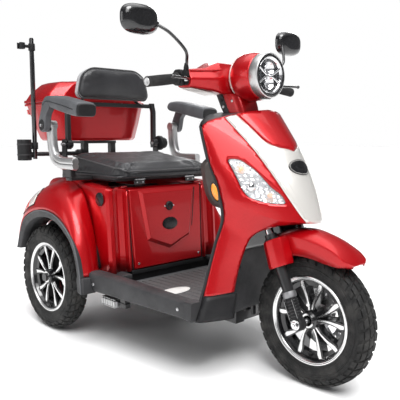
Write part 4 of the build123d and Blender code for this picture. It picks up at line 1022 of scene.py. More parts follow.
def build_rim(name, centre, body, node, faces):
    """Cast wheel: black barrel and spoke bodies, machined lips, spoke faces and hub cap."""
    barrel = [(-0.0305, 0.1372), (-0.0275, 0.1355), (-0.0260, 0.1268), (-0.0150, 0.1240), (-0.0120, 0.1090),
        (0.0120, 0.1090), (0.0150, 0.1240), (0.0260, 0.1268), (0.0275, 0.1355), (0.0305, 0.1372)]
    under = [(0.0300, 0.1300), (0.0255, 0.1215), (0.0150, 0.1170), (0.0110, 0.1040), (-0.0110, 0.1040),
        (-0.0150, 0.1170), (-0.0255, 0.1215), (-0.0300, 0.1300)]
    shell = revolve([(x, min(r, 0.1262) if abs(x) < 0.0262 else r) for x,
        r in barrel] + under + [barrel[0]], centre, 120)
    dark, bright = [shell], []
    hub = revolve([(-0.033, 0.010), (-0.033, 0.024), (-0.028, 0.029), (0.028, 0.029), (0.033, 0.024),
        (0.033, 0.010)], centre, 48)
    dark.append(hub)
    for i in range(5):
        for lean in (-1, 1):
            body_outline = [(u, v * lean) for u, v in ARM_BODY]
            face_outline = [(u, v * lean) for u, v in ARM_FACE]
            angle = 2 * math.pi * i / 5
            dark.append(spoke_prism(centre, body_outline, -0.015, 0.015, 0.0, angle))
            for out in faces:
                bright.append(spoke_prism(centre, face_outline, out * 0.013, out * 0.0185, 0.0012, angle))
        for out in faces:
            lug = revolve([(out * 0.020, 0.0001), (out * 0.0305, 0.0035), (out * 0.0305, 0.0040),
                (out * 0.0290, 0.0045)], (0, 0, 0), 12)
            lug = moved(lug, (centre[0], centre[1], centre[2] + 0.0215))
            bright.append(turned(lug, centre, "X", 2 * math.pi * (i + 0.5) / 5))
    for out in faces:
        lip = [(0.0272, 0.1345), (0.0300, 0.1366), (0.0314, 0.1350), (0.0314, 0.1318), (0.0300, 0.1300),
            (0.0302, 0.1282), (0.0285, 0.1255), (0.0262, 0.1240), (0.0262, 0.1232), (0.0250, 0.1228)]
        bright.append(revolve([(out * x, r) for x, r in lip], centre, 120))
        cap = [(0.0300, 0.0225), (0.0340, 0.0215), (0.0345, 0.0165), (0.0330, 0.0155), (0.0330, 0.0120),
            (0.0330, 0.0102)]
        bright.append(revolve([(out * x, r) for x, r in cap], centre, 48))
    base = piece(name, *merged(*dark), GLOSS_BLACK, body, "cast_alloy", [node], sharp=30)
    piece(f"{name}_machined", *merged(*bright), TURNED, body, "cast_alloy", sharp=30)
    valve = [Vector(centre) + Vector((0.012 * faces[0], 0, -0.118)),
        Vector(centre) + Vector((0.024 * faces[0], 0, -0.103))]
    piece(f"{name}_valve", *tube(valve, [0.0035, 0.0028], 10), BLACK, body, "black_plastic")
    return base


FRONT = (0.0, aft(0.0), AXLE_Z)
build_tyre("front_tyre_visual", FRONT, "front_wheel", "front_tyre")
build_rim("front_wheel_visual", FRONT, "front_wheel", "front_rim", (-1, 1))
for side, word in SIDES:
    centre = (side * 0.305, aft(1.026), AXLE_Z)
    build_tyre(f"{word}_tyre_visual", centre, f"{word}_rear_wheel", f"{word}_rear_tyre")
    build_rim(f"{word}_wheel_visual", centre, f"{word}_rear_wheel", f"{word}_rear_rim", (side,))
    nut = revolve([(side * 0.034, 0.0001), (side * 0.034, 0.015), (side * 0.0395, 0.015),
        (side * 0.0435, 0.013), (side * 0.0435, 0.0001)], centre, 6)
    nut = piece(f"{word}_rear_nut", *nut, CHROME, "rear_axle", "bright_steel", bevel=0.001)

steps = 96
hole_loops = []
for i in range(24):
    a, r = 2 * math.pi * i / 24, 0.081 - 0.007 * (i % 2)
    hole_loops.append(oval((FRONT[1] + r * math.cos(a), FRONT[2] + r * math.sin(a)), 0.0035, 0.0035, 10))
outer = [(FRONT[1] + (0.091 + 0.0012 * math.sin(12 * a)) * math.cos(a),
    FRONT[2] + (0.091 + 0.0012 * math.sin(12 * a)) * math.sin(a)) for a in np.linspace(0, 2 * math.pi,
    steps, endpoint=False)]
windows = []
for i in range(6):
    start = math.pi / 3 * i + 0.17
    arc = np.linspace(start, start + math.pi / 3 - 0.34, 8)
    windows.append([(FRONT[1] + 0.062 * math.cos(a),
        FRONT[2] + 0.062 * math.sin(a)) for a in arc] + [(FRONT[1] + 0.036 * math.cos(a),
        FRONT[2] + 0.036 * math.sin(a)) for a in reversed(arc)])
disc = sheet_mesh(outer, lambda y, z: (0.0415, y, z), 0.010, holes=hole_loops + windows)
disc = piece("disc_visual", *disc, STEEL, "front_wheel", "disc_steel", ["brake_disc"], thick=0.0035,
    sharp=30)
aim_outward(disc, (1, 0, 0))

# ---------------------------------------------------------------- fork
RAKE = math.radians(24)
STEER_UP = Vector((0, math.sin(RAKE), math.cos(RAKE)))
STEER_BACK = Vector((0, math.cos(RAKE), -math.sin(RAKE)))
STEER_FOOT = Vector((0, aft(0.0389), AXLE_Z))


def steer_point(x, back, along):
    """Point given across, behind and along the steering axis."""
    return tuple(STEER_FOOT + Vector((x, 0, 0)) + STEER_BACK * back + STEER_UP * along)


LEG_BACK = -0.0356
keep("fork_crown", CHROME, 0.002)
for side, word in SIDES:
    x = side * 0.075
    line = lambda *pairs: [(steer_point(x, LEG_BACK, a), r) for a, r in pairs]
    leg = line((0.262, 0.0165), (0.2625, 0.0188), (0.245, 0.0190), (0.150, 0.0185), (0.100, 0.0175),
        (0.083, 0.0172))
    piece(f"fork_leg_{word}", *tube([p for p, _ in leg], [r for _, r in leg], 28), FRAME_STEEL,
        "fork_slider", "frame_steel", ["fork_lowers"] if side > 0 else [])
    collar = line((0.083, 0.0172), (0.0825, 0.0205), (0.074, 0.0215), (0.066, 0.0205), (0.064, 0.018))
    piece(f"fork_collar_{word}", *tube([p for p, _ in collar], [r for _, r in collar], 28, caps=False),
        CAST, "fork_slider", "satin_alloy")
    low = line((0.065, 0.0165), (0.045, 0.0175), (0.010, 0.0180), (-0.010, 0.0185), (-0.028, 0.0150),
        (-0.033, 0.006), (-0.034, 0.0005))
    piece(f"fork_foot_{word}", *tube([p for p, _ in low], [r for _, r in low], 24, caps=False), BLACK,
        "fork_slider", "frame_steel")
    ribs = []
    for i in range(6):
        along = 0.012 + i * 0.0088
        loop = [steer_point(x + 0.0172 * math.cos(a), LEG_BACK + 0.0172 * math.sin(a),
            along + 0.0018 * math.cos(a)) for a in np.linspace(0, 2 * math.pi, 25)]
        ribs.append(tube(loop, 0.0026, 6, caps=False))
    piece(f"fork_ribs_{word}", *merged(*ribs), FRAME_STEEL, "fork_slider", "frame_steel", sharp=0)
    for k, back in enumerate((-0.052, -0.0215)):
        rail = [steer_point(x + side * 0.0155, back, a) for a in (0.062, 0.045, 0.012, -0.002)]
        piece(f"fork_rail_{word}_{k}", *tube(rail, 0.0026, 10), FRAME_STEEL, "fork_slider", "frame_steel")
        edge = [steer_point(x + side * 0.0178, back, a) for a in (0.058, 0.045, 0.012, 0.002)]
        piece(f"fork_rail_edge_{word}_{k}", *tube(edge, 0.0008, 8), SATIN, "fork_slider", "satin_alloy")
    lug = revolve([(side * 0.060, 0.0001), (side * 0.060, 0.016), (side * 0.064, 0.020),
        (side * 0.088, 0.020), (side * 0.092, 0.016), (side * 0.092, 0.0001)], FRONT, 32)
    piece(f"fork_lug_{word}", *lug, BLACK, "fork_slider", "frame_steel", bevel=0.0015)
    washer = revolve([(side * 0.0920, 0.0001), (side * 0.0920, 0.0150), (side * 0.0940, 0.0150),
        (side * 0.0940, 0.0001)], FRONT, 32)
    nut = revolve([(side * 0.0940, 0.0001), (side * 0.0940, 0.0125), (side * 0.0985, 0.0125),
        (side * 0.1005, 0.0105), (side * 0.1005, 0.0065), (side * 0.1030, 0.0060), (side * 0.1035, 0.0001)],
        FRONT, 6)
    piece(f"front_nut_{word}", *merged(washer, nut), CHROME, "fork_slider", "bright_steel",
        ["front_axle"] if side > 0 else [], bevel=0.0006)
spindle = [Vector(FRONT) + Vector((x, 0, 0)) for x in (-0.093, 0.093)]
piece("front_spindle", *tube(spindle, 0.008, 20), STEEL, "fork_slider", "bright_steel")

caliper = rounded([(aft(0.050), 0.236), (aft(0.070), 0.228), (aft(0.094), 0.232), (aft(0.104), 0.262),
    (aft(0.098), 0.280), (aft(0.072), 0.286), (aft(0.058), 0.276)], 0.006)
block("caliper_visual", caliper, 0.0432, 0.0560, "X", CAST, "fork_slider", 0.003, slot="frame_steel",
    stands=["brake_caliper"])
block("caliper_inner", caliper, 0.0280, 0.0362, "X", CAST, "fork_slider", 0.002, slot="frame_steel")
for k, (d, z) in enumerate(((0.074, 0.250), (0.084, 0.267))):
    pot = revolve([(0.055, 0.0085), (0.0585, 0.0085), (0.060, 0.007), (0.060, 0.0001)], (0, aft(d), z), 24)
    piece(f"caliper_pot_{k}", *pot, STEEL, "fork_slider", "bright_steel")

# ---------------------------------------------------------------- front fender
# angle round the wheel, crown, shoulder and lower edge radii, half-widths at the shoulder and the edge
FENDER = table_of([
    (-38.5, 0.2460, 0.2440, 0.2330, 0.028, 0.030), (-36, 0.2480, 0.2445, 0.2300, 0.045, 0.046), (-32,
        0.2515, 0.2450, 0.2180, 0.053, 0.053),
    (-22, 0.2600, 0.2470, 0.2030, 0.056, 0.0555), (-8, 0.2690, 0.2480, 0.1980, 0.0570, 0.0560), (4, 0.2760,
        0.2540, 0.1990, 0.0575, 0.0560),
    (14, 0.2790, 0.2610, 0.2020, 0.0575, 0.0560), (34, 0.2830, 0.2680, 0.2100, 0.0570, 0.0555),
])
rings = []
for angle in np.linspace(-38.5, 34, 60):
    crown, shoulder, low, top_half, low_half = FENDER(angle)
    half = [(0, crown), (top_half * 0.35, crown - 0.0012),
        (top_half * 0.72, crown - (crown - shoulder) * 0.42), (top_half * 0.965, shoulder + 0.0015),
        (top_half, shoulder - 0.0015),
            (top_half * 1.01, shoulder - 0.008), ((top_half + low_half) / 2,
                (shoulder + low) / 2), (low_half, low)]
    section = [(-x, r) for x, r in reversed(half[1:])] + half
    a = math.radians(angle)
    rings.append([(x, FRONT[1] + r * math.sin(a), FRONT[2] + r * math.cos(a)) for x, r in section])
fender = piece("fender_visual", *loft(rings, closed=False), RED, "fork_slider", "red_paint",
    ["front_fender"], thick=0.003, sharp=26)
aim_outward(fender, (0, 0, 1))
for side, word in SIDES:
    outline = [(-0.050, 0.056), (-0.044, 0.088), (-0.022, 0.101), (0.004, 0.103), (0.024, 0.092),
        (0.030, 0.058)]
    rings = []
    for along, grow in ((0.160, 0.90), (0.1605, 0.965), (0.168, 1.0), (0.234, 1.0), (0.242, 0.96),
            (0.244, 0.88)):
        skew = (along - 0.16) * 0.10
        ring = []
        for back, x in rounded(outline, 0.004, 3):
            cx, cb = 0.076, -0.012
            ring.append(steer_point(side * (cx + (x - cx) * grow),
                LEG_BACK + 0.010 + cb + (back - cb) * grow - skew, along))
        rings.append(ring)
    piece(f"fender_pod_{word}", *loft(rings), RED, "fork_slider", "red_paint", sharp=22)
    seal = [steer_point(side * 0.075 + 0.0205 * math.cos(a), LEG_BACK + 0.0205 * math.sin(a),
        0.2455) for a in np.linspace(0, 2 * math.pi, 33)]
    piece(f"fender_seal_{word}", *tube(seal, 0.004, 8, caps=False), BLACK, "fork_slider", "black_plastic",
        sharp=0)

# ---------------------------------------------------------------- rear body
BODY_LOW = 0.262
BODY_PLAN = [
    (0, 0.703), (0.10, 0.703), (0.178, 0.703), (0.181, 0.704), (0.186, 0.699), (0.190, 0.699), (0.196,
        0.712), (0.212, 0.722), (0.232, 0.720),
    (0.240, 0.706), (0.248, 0.701), (0.260, 0.704), (0.268, 0.714), (0.272, 0.735), (0.273, 0.775), (0.262,
        0.83), (0.257, 0.90),
    (0.252, 1.00), (0.249, 1.10), (0.242, 1.17), (0.228, 1.205), (0.19, 1.222), (0.10, 1.226), (0, 1.226)]
TOP_LINE = [(0.69, 0.562), (0.716, 0.570), (0.80, 0.574), (0.861, 0.577), (1.007, 0.591), (1.11, 0.586),
    (1.23, 0.584)]
REAR_LIMIT = [(0.20, 1.226), (0.44, 1.226), (0.54, 1.190), (0.575, 1.140), (0.60, 1.100)]
LEAN = 0.021  # how far the foot of the body's front stands ahead of its top


def along_line(line, value):
    return float(np.interp(value, [p[0] for p in line], [p[1] for p in line]))


def lean(distance, z):
    """The body's front face leans back towards the seat."""
    share = min(1.0, max(0.0, (0.80 - distance) / 0.08))
    return distance - LEAN * share * (0.56 - z) / 0.30


def body_point(x, distance, share, drawn=0.0):
    z = BODY_LOW + (along_line(TOP_LINE, distance) - BODY_LOW) * min(share, 1.0)
    distance = min(distance, along_line(REAR_LIMIT, z))
    distance = lean(distance, z)
    middle = Vector((0, 0.95))
    here = Vector((x, distance))
    flat = Vector((x, 0.0)) if 0.72 < distance < 1.05 else here - middle
    if drawn and flat.length > 1e-6:
        here = here - flat.normalized() * min(drawn, flat.length)
    return here.x, aft(here.y), z


rings = []
for share, drawn, lift in ((0.0, 0.0, 0.0), (0.2, 0.0, 0.0), (0.45, 0.0, 0.0), (0.7, 0.0, 0.0),
    (0.88, 0.0, 0.0), (0.955, 0.0, 0.0), (0.985, 0.003, 0.0),
                           (1.0, 0.010, 0.0), (1.0, 0.020, 0.0015), (1.0, 0.042, 0.001), (1.0, 0.044,
                                   -0.030)):
    half = [body_point(x, d, share, drawn) for x, d in BODY_PLAN]
    half = [(x, y, z + lift) for x, y, z in half]
    rings.append(half + [(-x, y, z) for x, y, z in reversed(half) if x > 1e-6])
body = piece("rear_body_visual", *loft(rings, caps=False), RED, "chassis", "red_paint", ["rear_body"],
    thick=0.003, sharp=24)

FENDER_INNER = curve_points([
    (0.273, 0.748, 0.262), (0.273, 0.772, 0.38), (0.271, 0.808, 0.47), (0.264, 0.862, 0.545), (0.254, 0.93,
        0.578), (0.247, 1.007, 0.590),
    (0.247, 1.085, 0.575), (0.250, 1.155, 0.53), (0.250, 1.208, 0.44), (0.248, 1.222, 0.296)], 8)
FENDER_OUTER = curve_points([
    (0.372, 0.722, 0.262), (0.374, 0.736, 0.325), (0.375, 0.762, 0.383), (0.375, 0.808, 0.433), (0.375,
        0.880, 0.469), (0.375, 0.968, 0.480),
    (0.372, 1.076, 0.462), (0.358, 1.184, 0.408), (0.343, 1.258, 0.296)], 9)


def resampled(points, count):
    points = np.array(points)
    lengths = np.concatenate([[0], np.cumsum(np.linalg.norm(np.diff(points, axis=0), axis=1))])
    at = np.linspace(0, lengths[-1], count)
    return np.stack([np.interp(at, lengths, points[:, i]) for i in range(points.shape[1])], axis=1)


FENDER_STEPS = 56
inner_run, outer_run = resampled(FENDER_INNER, FENDER_STEPS + 1), resampled(FENDER_OUTER, FENDER_STEPS + 1)
inner_run[:, 2] = np.maximum(inner_run[:, 2], 0.262)


def fender_point(t, u, lift=0.0):
    """Point of the left rear fender: t runs round it from the front, u from the body outwards."""
    i = min(FENDER_STEPS - 1, int(t * FENDER_STEPS))
    f = t * FENDER_STEPS - i
    low = Vector(inner_run[i]).lerp(Vector(inner_run[i + 1]), f)
    high = Vector(outer_run[i]).lerp(Vector(outer_run[i + 1]), f)
    run = Vector(outer_run[i + 1]) - Vector(outer_run[i])
    out = (high - low).cross(run).normalized()
    if out.x < 0 and out.z < 0 or out.z < -0.1:
        out = -out
    if out.dot(Vector((0.5, (low.y - 1.0) * 1.0, 0.5))) < 0:
        out = -out
    rise = 0.024 * math.sin(math.pi * min(1.0, u ** 1.15)) ** 0.9
    here = low.lerp(high, u) + out * (rise + lift)
    return (here.x, aft(here.y), here.z)


rows = [[fender_point(i / FENDER_STEPS, u) for u in np.linspace(0, 1, 17)] for i in range(FENDER_STEPS + 1)]
dome = loft(rows, closed=False)
for side, word in SIDES:
    part = dome if side > 0 else mirrored(dome)
    made = piece(f"rear_fender_{word}", *part, RED, "chassis", "red_paint", thick=0.003, sharp=40)
    aim_outward(made, (side, 0, 1))

# Trims round the wheel arches, with a rolled outer lip and a foot that meets the skirt.
OUTER_ARC = curve_points([(0.708, 0.205), (0.722, 0.30), (0.752, 0.375), (0.806, 0.430), (0.880, 0.467),
    (0.968, 0.478), (1.076, 0.460), (1.185, 0.407), (1.258, 0.292)], 7)
INNER_ARC = curve_points([(0.738, 0.205), (0.751, 0.297), (0.777, 0.363), (0.820, 0.404), (0.887, 0.440),
    (0.968, 0.450), (1.066, 0.432), (1.165, 0.383), (1.228, 0.292)], 7)
outer_arc, inner_arc = resampled(OUTER_ARC, 61), resampled(INNER_ARC, 61)
TRIM_X = [(0.70, 0.3765), (1.00, 0.3765), (1.14, 0.358), (1.262, 0.343)]
for side, word in SIDES:
    rings, lip = [], []
    for a, b in zip(outer_arc, inner_arc):
        a, b = Vector(a), Vector(b)
        ring = []
        for share, back in ((0.0, 0.014), (-0.02, 0.002), (0.10, -0.0015), (0.22, 0.0), (0.62, 0.0005),
                (0.9, 0.004), (1.0, 0.010), (1.03, 0.032), (0.93, 0.032), (0.86, 0.014)):
            p = a.lerp(b, share)
            ring.append((side * (along_line(TRIM_X, p.x) - back), aft(p.x), p.y))
        rings.append(ring)
        lip.append((side * (along_line(TRIM_X, a.x) + 0.0008), aft(a.lerp(b, 0.07).x), a.lerp(b, 0.07).y))
    piece(f"arch_trim_{word}", *loft(rings), GREY, "chassis", "grey_plastic",
        ["arch_trims"] if side > 0 else [], sharp=35)
    piece(f"arch_lip_{word}", *tube(lip, 0.0022, 8), ARM_GREY, "chassis", "grey_plastic", sharp=0)
    foot = [(aft(0.700), 0.204), (aft(0.742), 0.204), (aft(0.748), 0.262), (aft(0.703), 0.262)]
    block(f"trim_foot_{word}", foot, *sorted((side * 0.318, side * 0.3755)), "X", GREY, "chassis", 0.006,
        slot="grey_plastic")
    rows = []
    for a, b in zip(outer_arc[6:], inner_arc[6:]):
        p = Vector(b).lerp(Vector(a), 0.25)
        outer_x = along_line(TRIM_X, p.x) - 0.012
        rows.append([(side * (0.256 + (outer_x - 0.256) * u), aft(p.x), p.y) for u in (0, 0.5, 1)])
    piece(f"wheel_well_{word}", *loft(rows, closed=False), BLACK, "chassis", "black_plastic", thick=0.002,
        sharp=40)
    wall_outline = [(aft(q[0]), q[1]) for q in inner_arc[6:]]
    lower = [(aft(1.19), 0.30), (aft(1.10), 0.395), (aft(0.93), 0.395), (aft(0.85), 0.33),
        (aft(0.845), 0.264)]
    wall_part = prism(wall_outline + lower, *sorted((side * 0.252, side * 0.256)), "X")
    piece(f"well_wall_{word}", *wall_part, BLACK, "chassis", "black_plastic", sharp=40)

# Two-tone tail lamps let into the fenders.
def patch(t_range, u_range, lift, steps=(12, 8), dome_height=0.003):
    rows = []
    for i in range(steps[0] + 1):
        row = []
        for j in range(steps[1] + 1):
            a, b = i / steps[0], j / steps[1]
            swell = dome_height * (1 - (2 * a - 1) ** 6) * (1 - (2 * b - 1) ** 6)
            row.append(fender_point(t_range[0] + (t_range[1] - t_range[0]) * a,
                u_range[0] + (u_range[1] - u_range[0]) * b, lift + swell))
        rows.append(row)
    return loft(rows, closed=False)


for side, word in SIDES:
    for k, (spans, material) in enumerate((((0.615, 0.695), TAIL_CLEAR), ((0.697, 0.775), TAIL_RED))):
        part = patch(spans, (0.42, 0.86), 0.0012)
        part = part if side > 0 else mirrored(part)
        made = piece(f"tail_lamp_{word}_{k}", *part, material, "chassis",
            "tail_lens" if k else "clear_lens", ["tail_lamps"] if side > 0 and k else [], thick=0.003,
            sharp=30)
        aim_outward(made, (side, 0, 1))
    rim = [fender_point(t, u, 0.001) for t, u in [(0.613, 0.41), (0.613, 0.64), (0.613, 0.87), (0.69, 0.87),
        (0.777, 0.87), (0.777, 0.64), (0.777, 0.41), (0.69, 0.41), (0.613, 0.41)]]
    rim = [(side * x, y, z) for x, y, z in rim]
    piece(f"tail_rim_{word}", *tube(rim, 0.0022, 8, caps=False), BLACK, "chassis", "black_plastic", sharp=0)


# ---------------------------------------------------------------- access panel
def leaned(part):
    verts, faces = part
    return [(x, y - LEAN * (0.56 - z) / 0.30, z) for x, y, z in verts], faces


def plate(outline, levels):
    """Front plate built up from rings: margin drawn in, then distance aft."""
    rings = []
    for margin, distance in levels:
        flat = grown(outline, -margin)
        rings.append([(x, aft(distance), z) for x, z in flat])
    return loft(rings)


def fine(outline, step):
    return dense(outline, step)


PANEL = fine(rounded([(-0.176, 0.560), (-0.166, 0.268), (0.166, 0.268), (0.176, 0.560)], 0.006, 3), 0.02)
CHEVRON = [(-0.137, 0.556), (-0.106, 0.368), (0.0, 0.326), (0.106, 0.368), (0.137, 0.556)]
piece("access_plate", *leaned(plate(PANEL, [(0.0, 0.7035), (0.0, 0.6975), (0.003, 0.695)])), RED, "chassis",
    "red_paint", ["access_panel"], sharp=25)
piece("access_chevron", *leaned(plate(CHEVRON, [(0.0, 0.6955), (0.0, 0.6935), (0.011, 0.6845),
    (0.013, 0.684)])), RED, "chassis", "red_paint", bevel=0.0012, sharp=25)
for side, word in SIDES:
    # Painted shadow: the black strip drawn on the left side only stands for the shadow the raised chevron casts
    # on the access plate; there is no slit there.
    shadow_outline = [(side * 0.1405, 0.552), (side * 0.1455, 0.552), (side * 0.1235, 0.400), (side * 0.1195, 0.400)]
    if side > 0:
        piece(f"chevron_shadow_strip_{word}", *leaned(plate(shadow_outline, [(0.0, 0.6962), (0.0, 0.6945)])), DECAL, "chassis",
            "black_plastic", sharp=30)
    gap = [(side * 0.180, 0.562), (side * 0.1835, 0.562), (side * 0.1735, 0.266), (side * 0.170, 0.266)]
    piece(f"panel_gap_{word}", *leaned(plate(gap, [(0.0, 0.704), (0.0, 0.7005)])), BLACK, "chassis",
        "black_plastic", sharp=30)
    ridge = [(side * 0.1875, aft(lean(0.6975, z)), z) for z in np.linspace(0.266, 0.556, 12)]
    piece(f"panel_ridge_{word}", *tube(ridge, 0.0045, 10), RED, "chassis", "red_paint", sharp=0)
    screw = revolve([(-0.0028, 0.0001), (-0.0028, 0.0022), (-0.002, 0.0046), (0.0, 0.005)],
        (side * 0.150, aft(lean(0.695, 0.287)), 0.287), 20, "Y")
    piece(f"panel_screw_{word}", *screw, CHROME, "chassis", "bright_steel")
    disc_centre = Vector((side * 0.2745, aft(0.740), 0.530))
    emblem = revolve([(side * -0.001, 0.0250), (side * 0.0012, 0.0245), (side * 0.0020, 0.0230),
        (side * 0.0022, 0.0001)], disc_centre, 40)
    piece(f"side_badge_{word}", *emblem, DECAL, "chassis", "black_plastic")
badge_outline = [(0.037 * math.cos(a), 0.423 + 0.0235 * math.sin(a)) for a in np.linspace(0, 2 * math.pi,
    48, endpoint=False)]
piece("panel_badge", *leaned(plate(badge_outline, [(0.0, 0.6845), (0.0, 0.6825), (0.002, 0.6818)])), DECAL,
    "chassis", "black_plastic")
socket_centre = (0.0, aft(lean(0.684, 0.49)), 0.490)
collar = [(0.001, 0.0175), (-0.004, 0.0172), (-0.006, 0.0155), (-0.006, 0.0108), (0.006, 0.0100),
    (0.006, 0.0001)]
piece("socket_collar", *revolve(collar, socket_centre, 36, "Y"), BLACK, "chassis", "black_plastic",
    ["charging_socket"])
cap = revolve([(-0.001, 0.0001), (-0.001, 0.0092), (0.004, 0.0096)],
    (0.004, socket_centre[1] - 0.002, 0.490), 28, "Y")
piece("socket_cap", *cap, GRIP, "chassis", "black_plastic")
for side, word in SIDES:
    screw = revolve([(-0.0015, 0.0001), (-0.0015, 0.0026), (0.001, 0.003)],
        (side * 0.022, socket_centre[1], 0.490), 12, "Y")
    piece(f"socket_screw_{word}", *screw, STEEL, "chassis", "bright_steel")
keep("battery_and_controller", BLACK)

# ---------------------------------------------------------------- floor
SKIRT_TOP = [(0.252, 0.262), (0.30, 0.263), (0.40, 0.268), (0.50, 0.2745), (0.60, 0.280), (0.680, 0.283),
    (0.712, 0.283)]
SKIRT_LOW = [(0.252, 0.204), (0.30, 0.204), (0.40, 0.206), (0.50, 0.208), (0.60, 0.210), (0.680, 0.2115),
    (0.712, 0.212)]


def skirt_x(distance):
    return 0.302 + (0.344 - 0.302) * (distance - 0.258) / 0.45


for side, word in SIDES:
    rings = []
    for distance in np.linspace(0.256, 0.712, 24):
        top, low, x = along_line(SKIRT_TOP, distance), along_line(SKIRT_LOW, distance), skirt_x(distance)
        inner = x - 0.058
        section = [(inner, top - 0.030), (inner + 0.006, top - 0.004), (x - 0.030, top),
            (x - 0.012, top - 0.0015), (x - 0.003, top - 0.006), (x, top - 0.015),
                   (x - 0.001, (top + low) / 2), (x - 0.006, low + 0.008), (x - 0.012, low), (x - 0.024,
                       low), (x - 0.024, low + 0.010), (inner + 0.012, top - 0.034)]
        rings.append([(side * a, aft(distance), b) for a, b in section])
    piece(f"running_board_{word}", *loft(rings), GREY, "chassis", "grey_plastic",
        ["running_boards"] if side > 0 else [], bevel=0.0015, sharp=30)
    nose_block = rounded([(0.292, 0.204), (0.302, 0.206), (0.300, 0.262), (0.250, 0.262), (0.246, 0.204)],
        0.006, 3)
    block(f"board_nose_{word}", [(side * a, b) for a, b in nose_block], aft(0.226), aft(0.262), "Y", GREY,
        "chassis", 0.003, slot="grey_plastic")
    for k, (distance, z) in enumerate(((0.284, 0.234), (0.690, 0.240))):
        spot = (side * (skirt_x(distance) - 0.001), aft(distance), z)
        bolt = revolve([(side * -0.002, 0.0060), (side * 0.0012, 0.0056), (side * 0.0024, 0.0040),
            (side * 0.0024, 0.0001)], spot, 20)
        piece(f"board_bolt_{word}_{k}", *bolt, STEEL, "chassis", "bright_steel")

MAT_PLAN = rounded([(0.0, 0.306), (0.226, 0.306), (0.262, 0.560), (0.262, 0.640), (0.235, 0.672),
    (0.0, 0.672)], 0.03, 4, closed=False)[1:-1]
tray = [(0.236, 0.290), (0.290, 0.690), (-0.290, 0.690), (-0.236, 0.290)]
piece("floor_tray", *prism([(x, aft(d)) for x, d in tray], 0.2130, 0.2215, "Z"), GREY, "chassis",
    "grey_plastic", ["floor_pan"], bevel=0.002)
plan = [(x, d) for x, d in MAT_PLAN if x > 0.001]
plan = [(0, 0.306)] + plan + [(0, 0.672)]
full = plan + [(-x, d) for x, d in reversed(plan) if x > 0]
rings = []
for margin, z in ((0.0, 0.2213), (0.0, 0.2238), (0.002, 0.2250), (0.010, 0.2250), (0.012, 0.2242)):
    rings.append([(x * (1 - margin / 0.24), aft(0.49 + (d - 0.49) * (1 - margin / 0.18)), z) for x,
        d in full])
piece("floor_mat", *loft(rings), MAT, "chassis", "grey_plastic", sharp=25)
edge = [(x * 0.985, aft(0.49 + (d - 0.49) * 0.98), 0.2252) for x, d in full]
piece("mat_edge", *tube(edge + edge[:2], 0.0016, 6, caps=False), ARM_GREY, "chassis", "grey_plastic",
    sharp=0)
bands = []
for i in range(15):
    x = -0.20 + 0.4 * i / 14
    bands.append(tube([(x, aft(0.335), 0.2243), (x * 1.08, aft(0.650), 0.2243)], 0.0016, 6))
piece("mat_ribs", *merged(*bands), MAT, "chassis", "grey_plastic", sharp=0)
for k, (x, distance) in enumerate(((-0.150, 0.470), (0.150, 0.470))):
    oval_plan = [(x + 0.062 * math.cos(a), aft(distance) + 0.032 * math.sin(a)) for a in np.linspace(0,
        2 * math.pi, 48, endpoint=False)]
    piece(f"mat_badge_{k}", *prism(oval_plan, 0.2242, 0.2268, "Z"), PALE, "chassis", "grey_plastic",
        bevel=0.001)
sill = [(-0.180, 0.248), (0.180, 0.248), (0.180, 0.264), (-0.180, 0.264)]
block("floor_sill", sill, aft(0.676), aft(0.706), "Y", BLACK, "chassis", 0.003, slot="black_plastic")
riser = [(-0.24, 0.216), (0.24, 0.216), (0.24, 0.262), (-0.24, 0.262)]
block("floor_riser", riser, aft(0.688), aft(0.700), "Y", BLACK, "chassis", 0.002, slot="black_plastic")
for side, word in SIDES:
    shelf = [(side * 0.205, aft(0.640)), (side * 0.318, aft(0.655)), (side * 0.322, aft(0.712)),
        (side * 0.205, aft(0.712))]
    block(f"body_shelf_{word}", shelf, 0.2450, 0.2630, "Z", GREY, "chassis", 0.004, slot="grey_plastic")

keep("main_frame", FRAME_STEEL, 0.0015)
keep("swingarm", FRAME_STEEL, 0.0015)
keep("drive_motor", CAST, 0.003)
keep("rear_shocks", STEEL, 0.0015)
for side, word in SIDES:
    coil = []
    for i in range(181):
        a = 2 * math.pi * i / 20
        coil.append((side * 0.170 + 0.0225 * math.cos(a), aft(0.992) + 0.0225 * math.sin(a),
            0.268 + 0.195 * i / 180))
    piece(f"shock_coil_{word}", *tube(coil, 0.0036, 8), RED, "chassis", "red_paint", sharp=0)

# ---------------------------------------------------------------- folding foot peg
PEG = Vector((-0.250, aft(0.622), 0.162))
knuckle = [(PEG.x - 0.012, PEG.y - 0.013), (PEG.x + 0.012, PEG.y - 0.013), (PEG.x + 0.012, PEG.y + 0.034),
    (PEG.x - 0.012, PEG.y + 0.034)]
block("peg_knuckle", knuckle, 0.152, 0.170, "Z", FRAME_STEEL, "foot_peg", 0.003, slot="frame_steel",
    stands=["foot_peg"])
tread = rounded([(PEG.x - 0.020, aft(0.652)), (PEG.x + 0.020, aft(0.652)), (PEG.x + 0.020, aft(0.742)),
    (PEG.x - 0.020, aft(0.742))], 0.006, 3)
block("peg_body", tread, 0.148, 0.171, "Z", CAST, "foot_peg", 0.003, slot="satin_alloy")
teeth = []
for i in range(6):
    d = 0.660 + i * 0.0142
    for face in (-1, 1):
        z = 0.1605 + face * 0.0125
        teeth.append(prism([(PEG.x - 0.022, aft(d)), (PEG.x + 0.022, aft(d)),
            (PEG.x + 0.022, aft(d + 0.0108)), (PEG.x - 0.022, aft(d + 0.0108))],
            *sorted((z, z + face * 0.003)), "Z"))
    for face in (-1, 1):
        x = PEG.x + face * 0.020
        teeth.append(prism([(aft(d), 0.150), (aft(d + 0.0108), 0.150), (aft(d + 0.0108), 0.170),
            (aft(d), 0.170)], *sorted((x, x + face * 0.0035)), "X"))
piece("peg_teeth", *merged(*teeth), SATIN, "foot_peg", "satin_alloy", bevel=0.0006)

